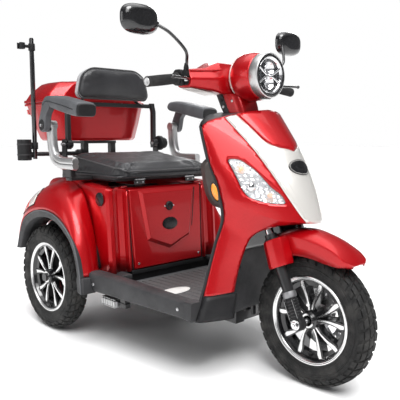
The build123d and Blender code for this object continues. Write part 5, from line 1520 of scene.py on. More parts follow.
# ---------------------------------------------------------------- padded shapes
def swollen(made, voxel, pressure, most, pinned=None):
    """Cloth simulation that fills a closed shape like a cushion, with each point's travel capped."""
    remesh = made.modifiers.new("remesh", "REMESH")
    remesh.mode = "VOXEL"
    remesh.voxel_size = voxel
    apply_modifiers(made)
    start = np.empty(len(made.data.vertices) * 3)
    made.data.vertices.foreach_get("co", start)
    start = start.reshape(-1, 3)
    if pinned is not None:
        held = made.vertex_groups.new(name="held")
        held.add([i for i, p in enumerate(start) if pinned(p)], 1.0, "REPLACE")
    cloth = made.modifiers.new("cloth", "CLOTH")
    cloth.settings.quality = 5
    cloth.settings.use_pressure = True
    cloth.settings.uniform_pressure_force = pressure
    cloth.settings.tension_stiffness = cloth.settings.compression_stiffness = 18
    cloth.settings.bending_stiffness = 2.5
    cloth.settings.effector_weights.gravity = 0
    if pinned is not None:
        cloth.settings.vertex_group_mass = "held"
    scene = bpy.context.scene
    for step in range(1, 21):
        scene.frame_set(step)
    apply_modifiers(made)
    scene.frame_set(1)
    settled = np.empty(start.size)
    made.data.vertices.foreach_get("co", settled)
    travel = settled.reshape(-1, 3) - start
    length = np.linalg.norm(travel, axis=1, keepdims=True)
    travel *= np.minimum(1.0, most / np.maximum(length, 1e-9))
    made.data.vertices.foreach_set("co", (start + travel).ravel())
    made.vertex_groups.clear()


def apply_modifiers(made):
    shown = made.evaluated_get(bpy.context.evaluated_depsgraph_get())
    fresh = bpy.data.meshes.new_from_object(shown)
    old = made.data
    made.modifiers.clear()
    made.data = fresh
    bpy.data.meshes.remove(old)


def reshape(made, move):
    """Every point of the mesh moved by a function of its place."""
    for vertex in made.data.vertices:
        vertex.co = move(vertex.co.copy())


def padded(made, material, body, stands, levels=1):
    made.data.materials.clear()
    made.data.materials.append(material)
    for polygon in made.data.polygons:
        polygon.use_smooth = True
    smooth = made.modifiers.new("smooth", "SUBSURF")
    smooth.levels = smooth.render_levels = levels
    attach(made, body)
    if stands:
        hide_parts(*stands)
    return made


def raw(name, verts, faces):
    mesh = bpy.data.meshes.new(name)
    mesh.from_pydata([tuple(v) for v in verts], [], [tuple(f) for f in faces])
    made = bpy.data.objects.new(name, mesh)
    bpy.context.scene.collection.objects.link(made)
    work = bmesh.new()
    work.from_mesh(mesh)
    bmesh.ops.recalc_face_normals(work, faces=work.faces)
    work.to_mesh(mesh)
    work.free()
    return made


# ---------------------------------------------------------------- seat cushion
RECLINE_PIVOT = (aft(1.036), 0.722)
ARM_PIVOT = (aft(1.013), 0.795)
SEAT_MIDDLE, PAN_MIDDLE = 0.856, 0.875
SEAT_TOP = [(0.676, 0.636), (0.700, 0.651), (0.780, 0.660), (0.860, 0.668), (0.960, 0.684), (1.010, 0.690),
    (1.040, 0.682)]
SEAT_LOW = 0.607
SEAT_PLAN = rounded([(-0.2, 0.684), (0.2, 0.684), (0.219, 0.72), (0.219, 1.028), (-0.219, 1.028),
    (-0.219, 0.72)], 0.035, 5)


def stepped(outline, middle, levels):
    """Upright slab from an (x, z) outline, scaled about a height at each (distance aft, scale)."""
    return loft([[(x * g, aft(d), middle + (z - middle) * g) for x, z in outline] for d, g in levels])


def seat_top(distance):
    return along_line(SEAT_TOP, distance)


rings = []
for share, drawn in ((0.0, 0.010), (0.12, 0.001), (0.5, 0.0), (0.86, 0.002), (0.97, 0.008), (1.0, 0.018)):
    ring = []
    for x, d in SEAT_PLAN:
        pull = 1 - drawn / 0.2
        x2, d2 = x * pull, SEAT_MIDDLE + (d - SEAT_MIDDLE) * pull
        ring.append((x2, aft(d2), SEAT_LOW + (seat_top(d2) - 0.006 - SEAT_LOW) * share))
    rings.append(ring)
verts, faces = loft(rings)
faces.pop()
top = len(verts) - len(SEAT_PLAN)
count = len(SEAT_PLAN)
steps = 12
previous = list(range(top, top + count))
for i in range(1, steps):
    share = 1 - i / steps
    ring = []
    for x, d in SEAT_PLAN:
        d2 = SEAT_MIDDLE + (d - SEAT_MIDDLE) * 0.91 * share
        verts.append((x * 0.91 * share, aft(d2), seat_top(d2) - 0.006 + 0.004 * (1 - share)))
        ring.append(len(verts) - 1)
    faces += [(previous[j], previous[(j + 1) % count], ring[(j + 1) % count],
        ring[j]) for j in range(count)]
    previous = ring
faces.append(tuple(previous))
cushion = raw("seat_pad", verts, faces)
swollen(cushion, 0.006, 4.0, 0.009, lambda p: p[2] < SEAT_LOW + 0.004)
SEAM_X = 0.152


def seat_detail(p):
    """Sewn front corners, the channel across the top and the fold under the front edge."""
    distance = p.y - FRONT_AXLE_Y
    if distance < 0.76 and abs(p.x) < 0.22:
        fade = max(0.0, 1 - max(0.0, distance - 0.70) / 0.06)
        for seam in (SEAM_X,):
            near = math.exp(-((abs(p.x) - seam) / 0.0035) ** 2)
            p.y += 0.0030 * near * fade * (1 if p.z < 0.652 else 0.4)
            p.z -= 0.0022 * near * fade * (1 if p.z > 0.645 else 0)
    if p.z > SEAT_LOW + 0.02:
        line = math.exp(-((distance - 0.985) / 0.006) ** 2)
        p.z -= 0.0025 * line * (1 if abs(p.x) < 0.20 else 0.3)
    if p.z < SEAT_LOW:
        p.z = SEAT_LOW
    return p


reshape(cushion, seat_detail)
padded(cushion, LEATHER, "seat", ["seat_cushion"])

rim = []
for x, d in SEAT_PLAN:
    pull = 1 - 0.004 / 0.2
    rim.append((x * (pull + 0.018), aft(SEAT_MIDDLE + (d - SEAT_MIDDLE) * (pull + 0.016)), seat_top(d) - 0.0125))
piece("seat_piping", *tube(rim + rim[:2], 0.0026, 8, caps=False), PIPING, "seat", "black_leather", sharp=0)
for side, word in SIDES:
    seam = [(side * SEAM_X, aft(0.6785), 0.612), (side * SEAM_X, aft(0.6765), 0.632),
        (side * SEAM_X, aft(0.682), 0.646), (side * SEAM_X, aft(0.705), 0.6525)]
    seam = curve_points(seam, 6)
    stitches = []
    for a, b in list(zip(seam, seam[1:]))[::2]:
        stitches.append(tube([a, b], 0.0009, 6))
    piece(f"seat_stitch_{word}", *merged(*stitches), PIPING, "seat", "black_leather", sharp=0)

PAN = rounded([(-0.226, 0.702), (0.226, 0.702), (0.227, 1.048), (-0.227, 1.048)], 0.022, 4)
rings = []
for margin, z in ((0.010, 0.5905), (0.004, 0.5925), (0.0, 0.598), (0.0, 0.606), (0.003, 0.6075)):
    rings.append([(x * (1 - margin / 0.22), aft(PAN_MIDDLE + (d - PAN_MIDDLE) * (1 - margin / 0.17)), z) for x,
        d in PAN])
piece("seat_pan", *loft(rings), BLACK, "seat", "frame_steel", ["seat_base"], sharp=35)
hem = [(x * 0.985, aft(0.862 + (d - PAN_MIDDLE) * 0.985), 0.6085) for x, d in PAN]
piece("seat_hem", *tube(hem + hem[:2], 0.0042, 8, caps=False), LEATHER, "seat", "black_leather", sharp=0)
for side, word in SIDES:
    leaf = rounded([(side * 0.102, 0.578), (side * 0.150, 0.578), (side * 0.150, 0.596),
        (side * 0.102, 0.596)], 0.004, 3)
    block(f"seat_hinge_{word}", leaf, aft(0.6975), aft(0.7005), "Y", FRAME_STEEL, "seat", 0.0008,
        slot="frame_steel")
    pin = [(side * 0.100, aft(0.702), 0.597), (side * 0.146, aft(0.702), 0.597)]
    piece(f"seat_hinge_pin_{word}", *tube(pin, 0.0048, 14), STEEL, "seat", "frame_steel", bevel=0.0008)
    for k, x in enumerate((0.112, 0.138)):
        head = revolve([(-0.003, 0.0001), (-0.003, 0.0026), (0.0, 0.0034)], (side * x, aft(0.6975), 0.586),
            12, "Y")
        piece(f"seat_hinge_screw_{word}_{k}", *head, STEEL, "seat", "frame_steel")
    tab = rounded([(side * 0.215, 0.858), (side * 0.318, 0.864), (side * 0.318, 0.898),
        (side * 0.215, 0.906)], 0.008, 3)
    block(f"arm_bracket_{word}", [(x, aft(d)) for x, d in tab], 0.591, 0.603, "Z", FRAME_STEEL, "seat",
        0.002, slot="frame_steel")
    for k, d in enumerate((0.872, 0.891)):
        nut = revolve([(0.0, 0.0072), (0.005, 0.0072), (0.006, 0.006), (0.006, 0.0001)],
            (side * 0.300, aft(d), 0.603), 6, "Z")
        piece(f"arm_nut_{word}_{k}", *nut, STEEL, "seat", "bright_steel")
    rail = [(side * 0.2315, aft(d), z) for d, z in ((1.034, 0.604), (1.060, 0.604), (1.060, 0.742),
        (1.034, 0.742))]
    outline = rounded([(aft(1.030), 0.592), (aft(1.062), 0.592), (aft(1.062), 0.736), (aft(1.048), 0.744),
        (aft(1.030), 0.736)], 0.006, 3)
    block(f"recline_plate_{word}", outline, *sorted((side * 0.2275, side * 0.2355)), "X", FRAME_STEEL,
        "seat", 0.0015, slot="frame_steel")
    foot = rounded([(side * 0.200, 1.022), (side * 0.2365, 1.022), (side * 0.2365, 1.064),
        (side * 0.200, 1.064)], 0.004, 3)
    block(f"recline_foot_{word}", [(x, aft(d)) for x, d in foot], 0.590, 0.602, "Z", FRAME_STEEL, "seat",
        0.0015, slot="frame_steel")
    pin = [(side * 0.204, *RECLINE_PIVOT), (side * 0.252, *RECLINE_PIVOT)]
    piece(f"recline_pin_{word}", *tube(pin, 0.006, 16), STEEL, "seat", "bright_steel", bevel=0.0008)

# ---------------------------------------------------------------- arm tubes and armrests
ARM_X = 0.305
ARM_LINE = curve_points([(0.848, 0.653), (0.900, 0.653), (0.945, 0.655), (0.985, 0.670), (1.004, 0.705),
    (1.011, 0.750), (1.013, 0.795)], 8)
for side, word in SIDES:
    rings = []
    path = [Vector((d, z)) for d, z in ARM_LINE]
    for i, p in enumerate(path):
        run = (path[min(i + 1, len(path) - 1)] - path[max(i - 1, 0)]).normalized()
        up = Vector((-run.y, run.x))
        share = i / (len(path) - 1)
        tall = 0.0235 - 0.001 * math.sin(math.pi * share)
        wide = 0.0140
        section = [(-wide, -tall * 0.45), (-wide, 0.002 - 0.006), (-wide + 0.0022, -0.001),
            (-wide + 0.0022, 0.001), (-wide, 0.004), (-wide, tall * 0.45),
                   (-wide * 0.82, tall * 0.85), (-wide * 0.4, tall), (wide * 0.4, tall), (wide * 0.82,
                       tall * 0.85), (wide, tall * 0.45), (wide, 0.004),
                   (wide - 0.0022, 0.001), (wide - 0.0022, -0.001), (wide, -0.004), (wide,
                       -tall * 0.45), (wide * 0.82, -tall * 0.85), (wide * 0.4, -tall),
                   (-wide * 0.4, -tall), (-wide * 0.82, -tall * 0.85)]
        rings.append([(side * ARM_X + a, aft(p.x + up.x * b), p.y + up.y * b) for a, b in section])
    first = [(x, y - 0.003, 0.653 + (z - 0.653) * 0.86) for x, y, z in rings[0]]
    piece(f"arm_tube_{word}", *loft([first] + rings), SATIN, "seat", "satin_alloy",
        ["arm_tubes"] if side > 0 else [], bevel=0.0010, sharp=50)
    stalk = rounded([(side * 0.294, 0.864), (side * 0.316, 0.864), (side * 0.316, 0.897),
        (side * 0.294, 0.897)], 0.004, 3)
    block(f"arm_stalk_{word}", [(x, aft(d)) for x, d in stalk], 0.603, 0.636, "Z", FRAME_STEEL, "seat",
        0.0015, slot="frame_steel")
    pivot = Vector((side * 0.30, *ARM_PIVOT))
    boss = revolve([(side * -0.012, 0.0001), (side * -0.012, 0.019), (side * 0.014, 0.021),
        (side * 0.0185, 0.019), (side * 0.0185, 0.0001)], pivot, 40)
    piece(f"arm_boss_{word}", *boss, SATIN, "seat", "satin_alloy", bevel=0.0012)
    pin = [pivot + Vector((side * 0.015, 0, 0)), pivot + Vector((side * 0.053, 0, 0))]
    piece(f"arm_pin_{word}", *tube(pin, 0.006, 16), STEEL, "seat", "bright_steel", bevel=0.0008)

    # The armrest: a wide soft top that runs down into its hinge at the back.
    top_line = curve_points([(0.766, 0.866), (0.776, 0.874), (0.83, 0.885), (0.905, 0.899), (0.960, 0.905),
        (0.994, 0.902), (1.003, 0.885)], 6)
    low_line = curve_points([(0.770, 0.826), (0.782, 0.824), (0.83, 0.832), (0.905, 0.848), (0.950, 0.858),
        (0.976, 0.862), (0.988, 0.866)], 6)
    rings = []
    total = len(top_line) - 1
    for i, (a, b) in enumerate(zip(top_line, low_line)):
        share = i / total
        outer, inner = 0.3455, 0.262 + 0.006 * math.sin(math.pi * share) ** 2
        shrink = 0.82 if i == 0 else 0.95 if i == 1 else 1.0
        mid_x, half = (outer + inner) / 2, (outer - inner) / 2 * shrink
        tall = a[1] - b[1]
        section = []
        for u, v in ((-1, 0.30), (-1, 0.62), (-0.95, 0.86), (-0.80, 0.97), (-0.4, 1.03), (0.1, 1.03),
            (0.6, 1.0), (0.86, 0.95), (0.97, 0.84), (1, 0.62),
                     (1, 0.30), (0.95, 0.08), (0.80, 0.0), (0.3, -0.01), (-0.3, -0.01), (-0.80,
                             0.0), (-0.95, 0.08)):
            d = b[0] + (a[0] - b[0]) * v
            section.append((side * (mid_x + half * u), aft(d), b[1] + tall * v))
        rings.append(section)
    piece(f"armrest_{word}", *loft(rings), ARM_GREY, f"{word}_armrest", "grey_plastic", [f"{word}_armrest"],
        bevel=0.0012, sharp=50)
    nose = []
    for share, push in ((1.0, 0.0), (0.97, -0.006), (0.86, -0.009)):
        nose.append([(side * (0.304 + (abs(x) - 0.304) * share), y + push,
            0.840 + (z - 0.840) * share) for x, y, z in rings[1]])
    piece(f"armrest_nose_{word}", *loft(nose), BLACK, f"{word}_armrest", "black_plastic", bevel=0.002)
    strip = [(side * 0.3462, aft(d), z) for d, z in curve_points([(0.790, 0.848), (0.85, 0.862),
        (0.92, 0.876), (0.975, 0.884), (1.003, 0.870)], 6)]
    piece(f"armrest_line_{word}", *tube(strip, 0.0012, 6), BLACK, f"{word}_armrest", "black_plastic",
        sharp=0)
    cheek = rounded([(1.006, 0.890), (1.012, 0.862), (1.030, 0.830), (1.040, 0.800), (1.034, 0.776),
        (1.013, 0.768), (0.994, 0.776), (0.987, 0.800), (0.980, 0.835), (0.955, 0.858), (0.955, 0.884)],
        0.012, 3)
    rings = []
    for x, grow in ((0.3205, 0.95), (0.3225, 1.0), (0.3435, 1.0), (0.3462, 0.95)):
        rings.append([(side * x, aft(1.003 + (d - 1.003) * grow), 0.825 + (z - 0.825) * grow) for d,
            z in cheek])
    piece(f"armrest_cheek_{word}", *loft(rings), ARM_GREY, f"{word}_armrest", "grey_plastic", bevel=0.0015,
        sharp=50)
    dial = revolve([(side * -0.002, 0.0205), (side * 0.0020, 0.0200), (side * 0.0030, 0.0180),
        (side * 0.0015, 0.0165), (side * 0.0015, 0.0001)], (side * 0.3462, aft(1.013), 0.797), 40)
    piece(f"armrest_dial_{word}", *dial, BLACK, f"{word}_armrest", "black_plastic")

# ---------------------------------------------------------------- backrest
BACK_MIDDLE = 0.967
PAD_OUTLINE = rounded([(-0.110, 1.029), (0.110, 1.029), (0.158, 1.000), (0.1745, 0.925), (0.160, 0.906),
    (-0.160, 0.906), (-0.1745, 0.925), (-0.158, 1.000)], 0.022, 5)
rings = []
for distance, margin in ((1.015, 0.012), (1.021, 0.004), (1.032, 0.002), (1.046, 0.005)):
    rings.append([(x * (1 - margin / 0.17), aft(distance),
        BACK_MIDDLE + (z - BACK_MIDDLE) * (1 - margin / 0.062)) for x, z in PAD_OUTLINE])
back_pad = raw("backrest_pad_visual", *loft(rings))
swollen(back_pad, 0.006, 4.0, 0.009, lambda p: p[1] > aft(1.043))


def back_detail(p):
    """A crown on the front of the backrest."""
    share = max(abs(p.x) / 0.1745, abs(p.z - BACK_MIDDLE) / 0.062)
    if p.y < aft(1.035):
        p.y -= 0.0035 * max(0.0, 1 - share)
    return p


reshape(back_pad, back_detail)
padded(back_pad, LEATHER, "backrest", ["backrest_pad"])
back_shell = [(1.0300, 0.985), (1.0310, 1.004), (1.0560, 1.000), (1.0640, 0.97), (1.0690, 0.90)]
piece("backrest_shell", *stepped(PAD_OUTLINE, BACK_MIDDLE, back_shell), BACKING, "backrest",
    "grey_plastic", sharp=30)
edge = [(x * 1.004, aft(1.0295), BACK_MIDDLE + (z - BACK_MIDDLE) * 1.008) for x, z in PAD_OUTLINE]
piece("backrest_piping", *tube(edge + edge[:2], 0.0028, 8, caps=False), PIPING, "backrest", "black_leather",
    sharp=0)
for side, word in SIDES:
    post = [(side * 0.207, 1.032), (side * 0.225, 1.032), (side * 0.225, 1.054), (side * 0.207, 1.054)]
    outline = rounded(post, 0.004, 3)
    rings = []
    for z, back in ((0.702, 0.0), (0.712, 0.0), (0.860, 0.0), (0.885, 0.008), (0.897, 0.010)):
        rings.append([(x, aft(d + back), z) for x, d in outline])
    piece(f"back_post_{word}", *loft(rings), FRAME_STEEL, "backrest", "frame_steel",
        ["backrest_frame"] if side > 0 else [], bevel=0.001, sharp=40)
    hub = revolve([(side * 0.2055, 0.0065), (side * 0.2055, 0.017), (side * 0.2265, 0.017),
        (side * 0.2265, 0.0065)], (0.0, *RECLINE_PIVOT), 32)
    piece(f"back_hub_{word}", *hub, FRAME_STEEL, "backrest", "frame_steel", bevel=0.001)
    strut = [(side * 0.214, aft(1.060), 0.884), (side * 0.165, aft(1.062), 0.888),
        (side * 0.130, aft(1.064), 0.905)]
    piece(f"back_strut_{word}", *tube(curve_points(strut, 5), 0.0085, 14, 0.6), FRAME_STEEL, "backrest",
        "frame_steel")
cross = rounded([(-0.222, 0.876), (0.222, 0.876), (0.222, 0.893), (-0.222, 0.893)], 0.004, 3)
block("back_cross_bar", cross, aft(1.0565), aft(1.0675), "Y", FRAME_STEEL, "backrest", 0.0015,
    slot="frame_steel")

# Recline knob: a fluted grip on a round plate.
KNOB = (0.0, *RECLINE_PIVOT)
plate_profile = [(0.2365, 0.0065), (0.2365, 0.030), (0.239, 0.0325), (0.252, 0.0325), (0.254, 0.030),
    (0.254, 0.0065)]
piece("knob_plate", *revolve(plate_profile, KNOB, 40), BLACK, "recline_knob", "black_plastic",
    ["recline_knob"], bevel=0.001)
rings = []
for x, r in ((0.2535, 0.022), (0.256, 0.0255), (0.273, 0.0245), (0.2765, 0.0215), (0.2775, 0.018)):
    rings.append([(x, KNOB[1] + (r - 0.0016 * (i % 4 == 0)) * math.cos(2 * math.pi * i / 48),
        KNOB[2] + (r - 0.0016 * (i % 4 == 0)) * math.sin(2 * math.pi * i / 48)) for i in range(48)])
piece("knob_grip", *loft(rings), BLACK, "recline_knob", "black_plastic", bevel=0.0006)
face = revolve([(0.2765, 0.0165), (0.2780, 0.0160), (0.2785, 0.0001)], KNOB, 36)
piece("knob_face", *face, ARM_GREY, "recline_knob", "black_plastic")


# ---------------------------------------------------------------- handlebar, lamp, mirrors
def round_aft(rows, centre, steps):
    """Round part on a line that runs aft, from (distance aft, radius) rows."""
    return revolve([(aft(distance), radius) for distance, radius in rows], centre, steps, "Y")


def spun(start, end, profile, steps=40):
    """Round part along any line, from (distance, radius) pairs."""
    start, end = Vector(start), Vector(end)
    turn = Vector((1, 0, 0)).rotation_difference(end - start)
    verts, faces = revolve(profile, (0, 0, 0), steps)
    return [start + turn @ Vector(v) for v in verts], faces


BAR_IN, BAR_OUT = (0.150, aft(0.380), 0.944), (0.345, aft(0.370), 0.917)


def column_y(z):
    """Where the steering axis crosses a height."""
    return aft(0.0389) + (z - AXLE_Z) * math.tan(RAKE)


def bar_point(side, x):
    share = (x - BAR_IN[0]) / (BAR_OUT[0] - BAR_IN[0])
    y, z = (a + (b - a) * share for a, b in zip(BAR_IN[1:], BAR_OUT[1:]))
    return side * x, y, z


bar_line = curve_points([bar_point(-1, 0.342), bar_point(-1, 0.16), (0, aft(0.380), 0.946),
    bar_point(1, 0.16), bar_point(1, 0.342)], 8)
piece("bar_tube", *tube(bar_line, 0.011, 20), FRAME_STEEL, "steering", "frame_steel", ["handlebar"])

COVER_TIP = [(0.338, 0.908), (0.331, 0.934), (0.358, 0.965), (0.398, 0.961), (0.398, 0.909)]
COVER_ROOT = [(0.318, 0.900), (0.308, 0.936), (0.350, 0.972), (0.398, 0.974), (0.398, 0.898)]
COVER_MID = [(0.310, 0.890), (0.304, 0.940), (0.328, 0.990), (0.398, 0.993), (0.398, 0.892)]
COVER_STATIONS = [(0.199, COVER_TIP, 0.93), (0.196, COVER_TIP, 1.0), (0.124, COVER_ROOT, 1.0),
    (0.086, COVER_MID, 1.0)]
rings = []
for side in (-1, 1):
    for x, outline, grow in COVER_STATIONS[::1 if side < 0 else -1]:
        outline = rounded([(0.366 + (d - 0.366) * grow, 0.937 + (z - 0.937) * grow) for d, z in outline],
            0.007, 3)
        rings.append([(side * x, aft(d), z) for d, z in outline])
piece("bar_cover", *loft(rings), RED, "steering", "red_paint", ["handlebar_cover"], bevel=0.0025, sharp=22)
for side, word in SIDES:
    mouth = rounded([(0.345, 0.914), (0.340, 0.934), (0.360, 0.957), (0.392, 0.955), (0.392, 0.915)], 0.008,
        4)
    block(f"cover_mouth_{word}", [(aft(d), z) for d, z in mouth], *sorted((side * 0.1985, side * 0.2025)),
        "X", BLACK, "steering", 0.0015, slot="red_paint")
    under = [(side * x, aft(d), z) for x, d, z in ((0.190, 0.345, 0.9065), (0.095, 0.322, 0.8905),
        (0.095, 0.385, 0.890), (0.190, 0.385, 0.9065))]
    low = [(x, y, z - 0.003) for x, y, z in under]
    piece(f"cover_under_{word}", *loft([under, low]), SILVER, "steering", "red_paint", bevel=0.001)
    ridge = curve_points([(side * 0.19, aft(0.350), 0.9600), (side * 0.126, aft(0.336), 0.9630),
        (side * 0.084, aft(0.316), 0.9680)], 6)
    piece(f"cover_ridge_{word}", *tube(ridge, 0.0022, 8), RED, "steering", "red_paint")

LEVER_Z = 0.9312
MIRROR_X, MIRROR_Z = 0.350, 1.100
LAMP = (0.0, 0.0, 0.945)
shell = [(0.3185, 0.0001), (0.3185, 0.040), (0.312, 0.053), (0.300, 0.065), (0.285, 0.0730),
    (0.262, 0.0780), (0.235, 0.0770), (0.2155, 0.0725), (0.2125, 0.0690), (0.2125, 0.0600)]
piece("lamp_shell", *round_aft(shell, LAMP, 96), RED, "steering", "red_paint", bevel=0.001, sharp=35)
edge = [(0.3125, 0.0500), (0.3115, 0.0560), (0.3020, 0.0660), (0.2960, 0.0700), (0.2945, 0.0675)]
piece("lamp_strip", *round_aft(edge, LAMP, 96), SILVER, "steering", "red_paint")
ring = [(0.2135, 0.0600), (0.2135, 0.0705), (0.2100, 0.0722), (0.1900, 0.0712), (0.1835, 0.0695),
    (0.1815, 0.0670), (0.1830, 0.0648), (0.190, 0.0640)]
piece("lamp_ring", *round_aft(ring, LAMP, 120), SATIN, "steering", "silver_paint", ["headlight_ring"],
    sharp=30)
ring = [(0.192, 0.0642), (0.1835, 0.0646), (0.1800, 0.0638), (0.1795, 0.0612), (0.1830, 0.0596),
    (0.195, 0.0590)]
piece("lamp_bezel", *round_aft(ring, LAMP, 120), GLOSS_BLACK, "steering", "silver_paint")
bowl = [(0.1850, 0.0598), (0.1900, 0.0555), (0.2020, 0.0440), (0.2100, 0.0200), (0.2105, 0.0001)]
piece("lamp_bowl", *round_aft(bowl, LAMP, 72), GLOSS_BLACK, "steering", "clear_lens", thick=0.001)
chrome = [(0.1845, 0.0592), (0.1830, 0.0575), (0.1870, 0.0500), (0.1905, 0.0490)]
piece("lamp_reflector", *round_aft(chrome, LAMP, 96), CHROME, "steering", "clear_lens", sharp=50)
dome = [(0.1850, 0.0598), (0.1815, 0.0560), (0.1760, 0.0400), (0.1730, 0.0200), (0.1722, 0.0001)]
piece("lamp_glass", *round_aft(dome, LAMP, 96), LAMP_GLASS, "steering", "clear_lens", ["headlight_lens"])
for k, (x, z, width) in enumerate(((0.0, 0.966, 0.021), (0.0, 0.922, 0.020))):
    cup = [(0.2060, 0.0001), (0.1990, width * 0.55), (0.1905, width * 0.92), (0.1880, width),
        (0.1900, width * 1.06)]
    piece(f"lamp_cup_{k}", *round_aft(cup, (x, 0, z), 48), CHROME, "steering", "clear_lens")
    globe = [(0.2020, width * 0.58), (0.1935, width * 0.52), (0.1895, width * 0.30), (0.1885, 0.0001)]
    piece(f"lamp_bulb_{k}", *round_aft(globe, (x, 0, z), 32), LAMP_GLASS, "steering", "clear_lens")
for k, (u, v) in enumerate(((-1, 1), (1, 1), (-1, -1), (1, -1))):
    spoke = curve_points([(0.006 * u, aft(0.1905), 0.945 + 0.002 * v),
        (0.022 * u, aft(0.189), 0.945 + 0.007 * v), (0.050 * u, aft(0.187), 0.945 + 0.025 * v)], 6)
    piece(f"lamp_spoke_{k}", *tube(spoke, 0.0024, 10, 1.5), CHROME, "steering", "clear_lens")
hinge = rounded([(-0.018, 0.872), (0.018, 0.872), (0.012, 0.884), (-0.012, 0.884)], 0.003, 3)
block("lamp_foot", hinge, aft(0.196), aft(0.235), "Y", GLOSS_BLACK, "steering", 0.002, slot="red_paint")

# Stem between the leg shield and the bars: red at the front, dark behind.
STEM_FRONT = rounded([(-0.038, -0.062), (0.038, -0.062), (0.047, -0.040), (0.047, 0.006), (-0.047, 0.006),
    (-0.047, -0.040)], 0.010, 3)
STEM_REAR = rounded([(-0.045, 0.004), (0.045, 0.004), (0.045, 0.030), (0.030, 0.046), (-0.030, 0.046),
    (-0.045, 0.030)], 0.008, 3)
for name, outline, material in (("stem_front", STEM_FRONT, RED), ("stem_rear", STEM_REAR, GREY)):
    rings = []
    for z, grow in ((0.806, 0.88), (0.818, 0.92), (0.850, 1.0), (0.884, 1.03), (0.893, 1.04)):
        axis_y = column_y(z)
        rings.append([(x * grow, axis_y + y * grow, z) for x, y in outline])
    piece(name, *loft(rings), material, "steering", "red_paint",
        ["stem_cover"] if name == "stem_front" else [], bevel=0.002, sharp=30)
for side, word in SIDES:
    for k, (y, z) in enumerate(((0.018, 0.872), (0.018, 0.852), (-0.030, 0.870))):
        head = revolve([(side * 0.0445, 0.0055), (side * 0.0480, 0.0050), (side * 0.0490, 0.0030),
            (side * 0.0490, 0.0001)], (0, column_y(z) + y, z), 20)
        piece(f"stem_bolt_{word}_{k}", *head, STEEL if k else BLACK, "steering", "red_paint")

# Instrument side.
dash = rounded([(-0.195, 0.911), (-0.082, 0.893), (0.082, 0.893), (0.195, 0.911), (0.195, 0.960),
    (0.120, 0.968), (0.082, 0.988), (-0.082, 0.988), (-0.120, 0.968), (-0.195, 0.960)], 0.008, 3)
dash_board_levels = [(0.3975, 1.0), (0.4035, 0.995), (0.4062, 0.975)]
piece("dash_board", *stepped(dash, 0.940, dash_board_levels), BLACK, "steering", "black_plastic",
    ["dash_cover"], bevel=0.001)
hood = rounded([(-0.052, 0.912), (0.052, 0.912), (0.052, 0.966), (0.040, 0.982), (-0.040, 0.982),
    (-0.052, 0.966)], 0.007, 4)
gauge_hood_levels = [(0.405, 1.0), (0.4125, 0.98), (0.4142, 0.94), (0.4142, 0.88), (0.4105, 0.84)]
piece("gauge_hood", *stepped(hood, 0.947, gauge_hood_levels), GREY, "steering", "black_plastic", bevel=0.0008)
face = rounded([(-0.041, 0.921), (0.041, 0.921), (0.041, 0.962), (0.032, 0.974), (-0.032, 0.974),
    (-0.041, 0.962)], 0.005, 4)
block("gauge_face", [(x, z) for x, z in face], aft(0.4095), aft(0.4122), "Y", GLOSS_BLACK, "steering",
    0.0008, slot="black_plastic")
for k in range(5):
    bar = rounded([(-0.028 + k * 0.012, 0.938), (-0.020 + k * 0.012, 0.938),
        (-0.020 + k * 0.012, 0.946 + k * 0.003), (-0.028 + k * 0.012, 0.946 + k * 0.003)], 0.001, 2)
    block(f"gauge_bar_{k}", bar, aft(0.4118), aft(0.4127), "Y", PALE if k else AMBER, "steering", 0.0,
        slot="black_plastic")
KEY = (-0.055, 0.0, 0.930)
lock = [(0.403, 0.0082), (0.403, 0.0135), (0.4115, 0.0130), (0.4135, 0.0105), (0.4125, 0.0082)]
piece("key_lock", *round_aft(lock, KEY, 36), CHROME, "steering", "black_plastic")
barrel = [(0.402, 0.0078), (0.4145, 0.0078), (0.4155, 0.0065), (0.4155, 0.0001)]
piece("key_barrel", *round_aft(barrel, KEY, 36), STEEL, "ignition_key", "bright_steel", ["ignition_key"])
bow = rounded([(aft(0.414), 0.924), (aft(0.424), 0.921), (aft(0.438), 0.921), (aft(0.4405), 0.930),
    (aft(0.438), 0.939), (aft(0.424), 0.939), (aft(0.414), 0.936)], 0.003, 3)
block("key_bow", bow, -0.0568, -0.0532, "X", BLACK, "ignition_key", 0.0010, slot="bright_steel")

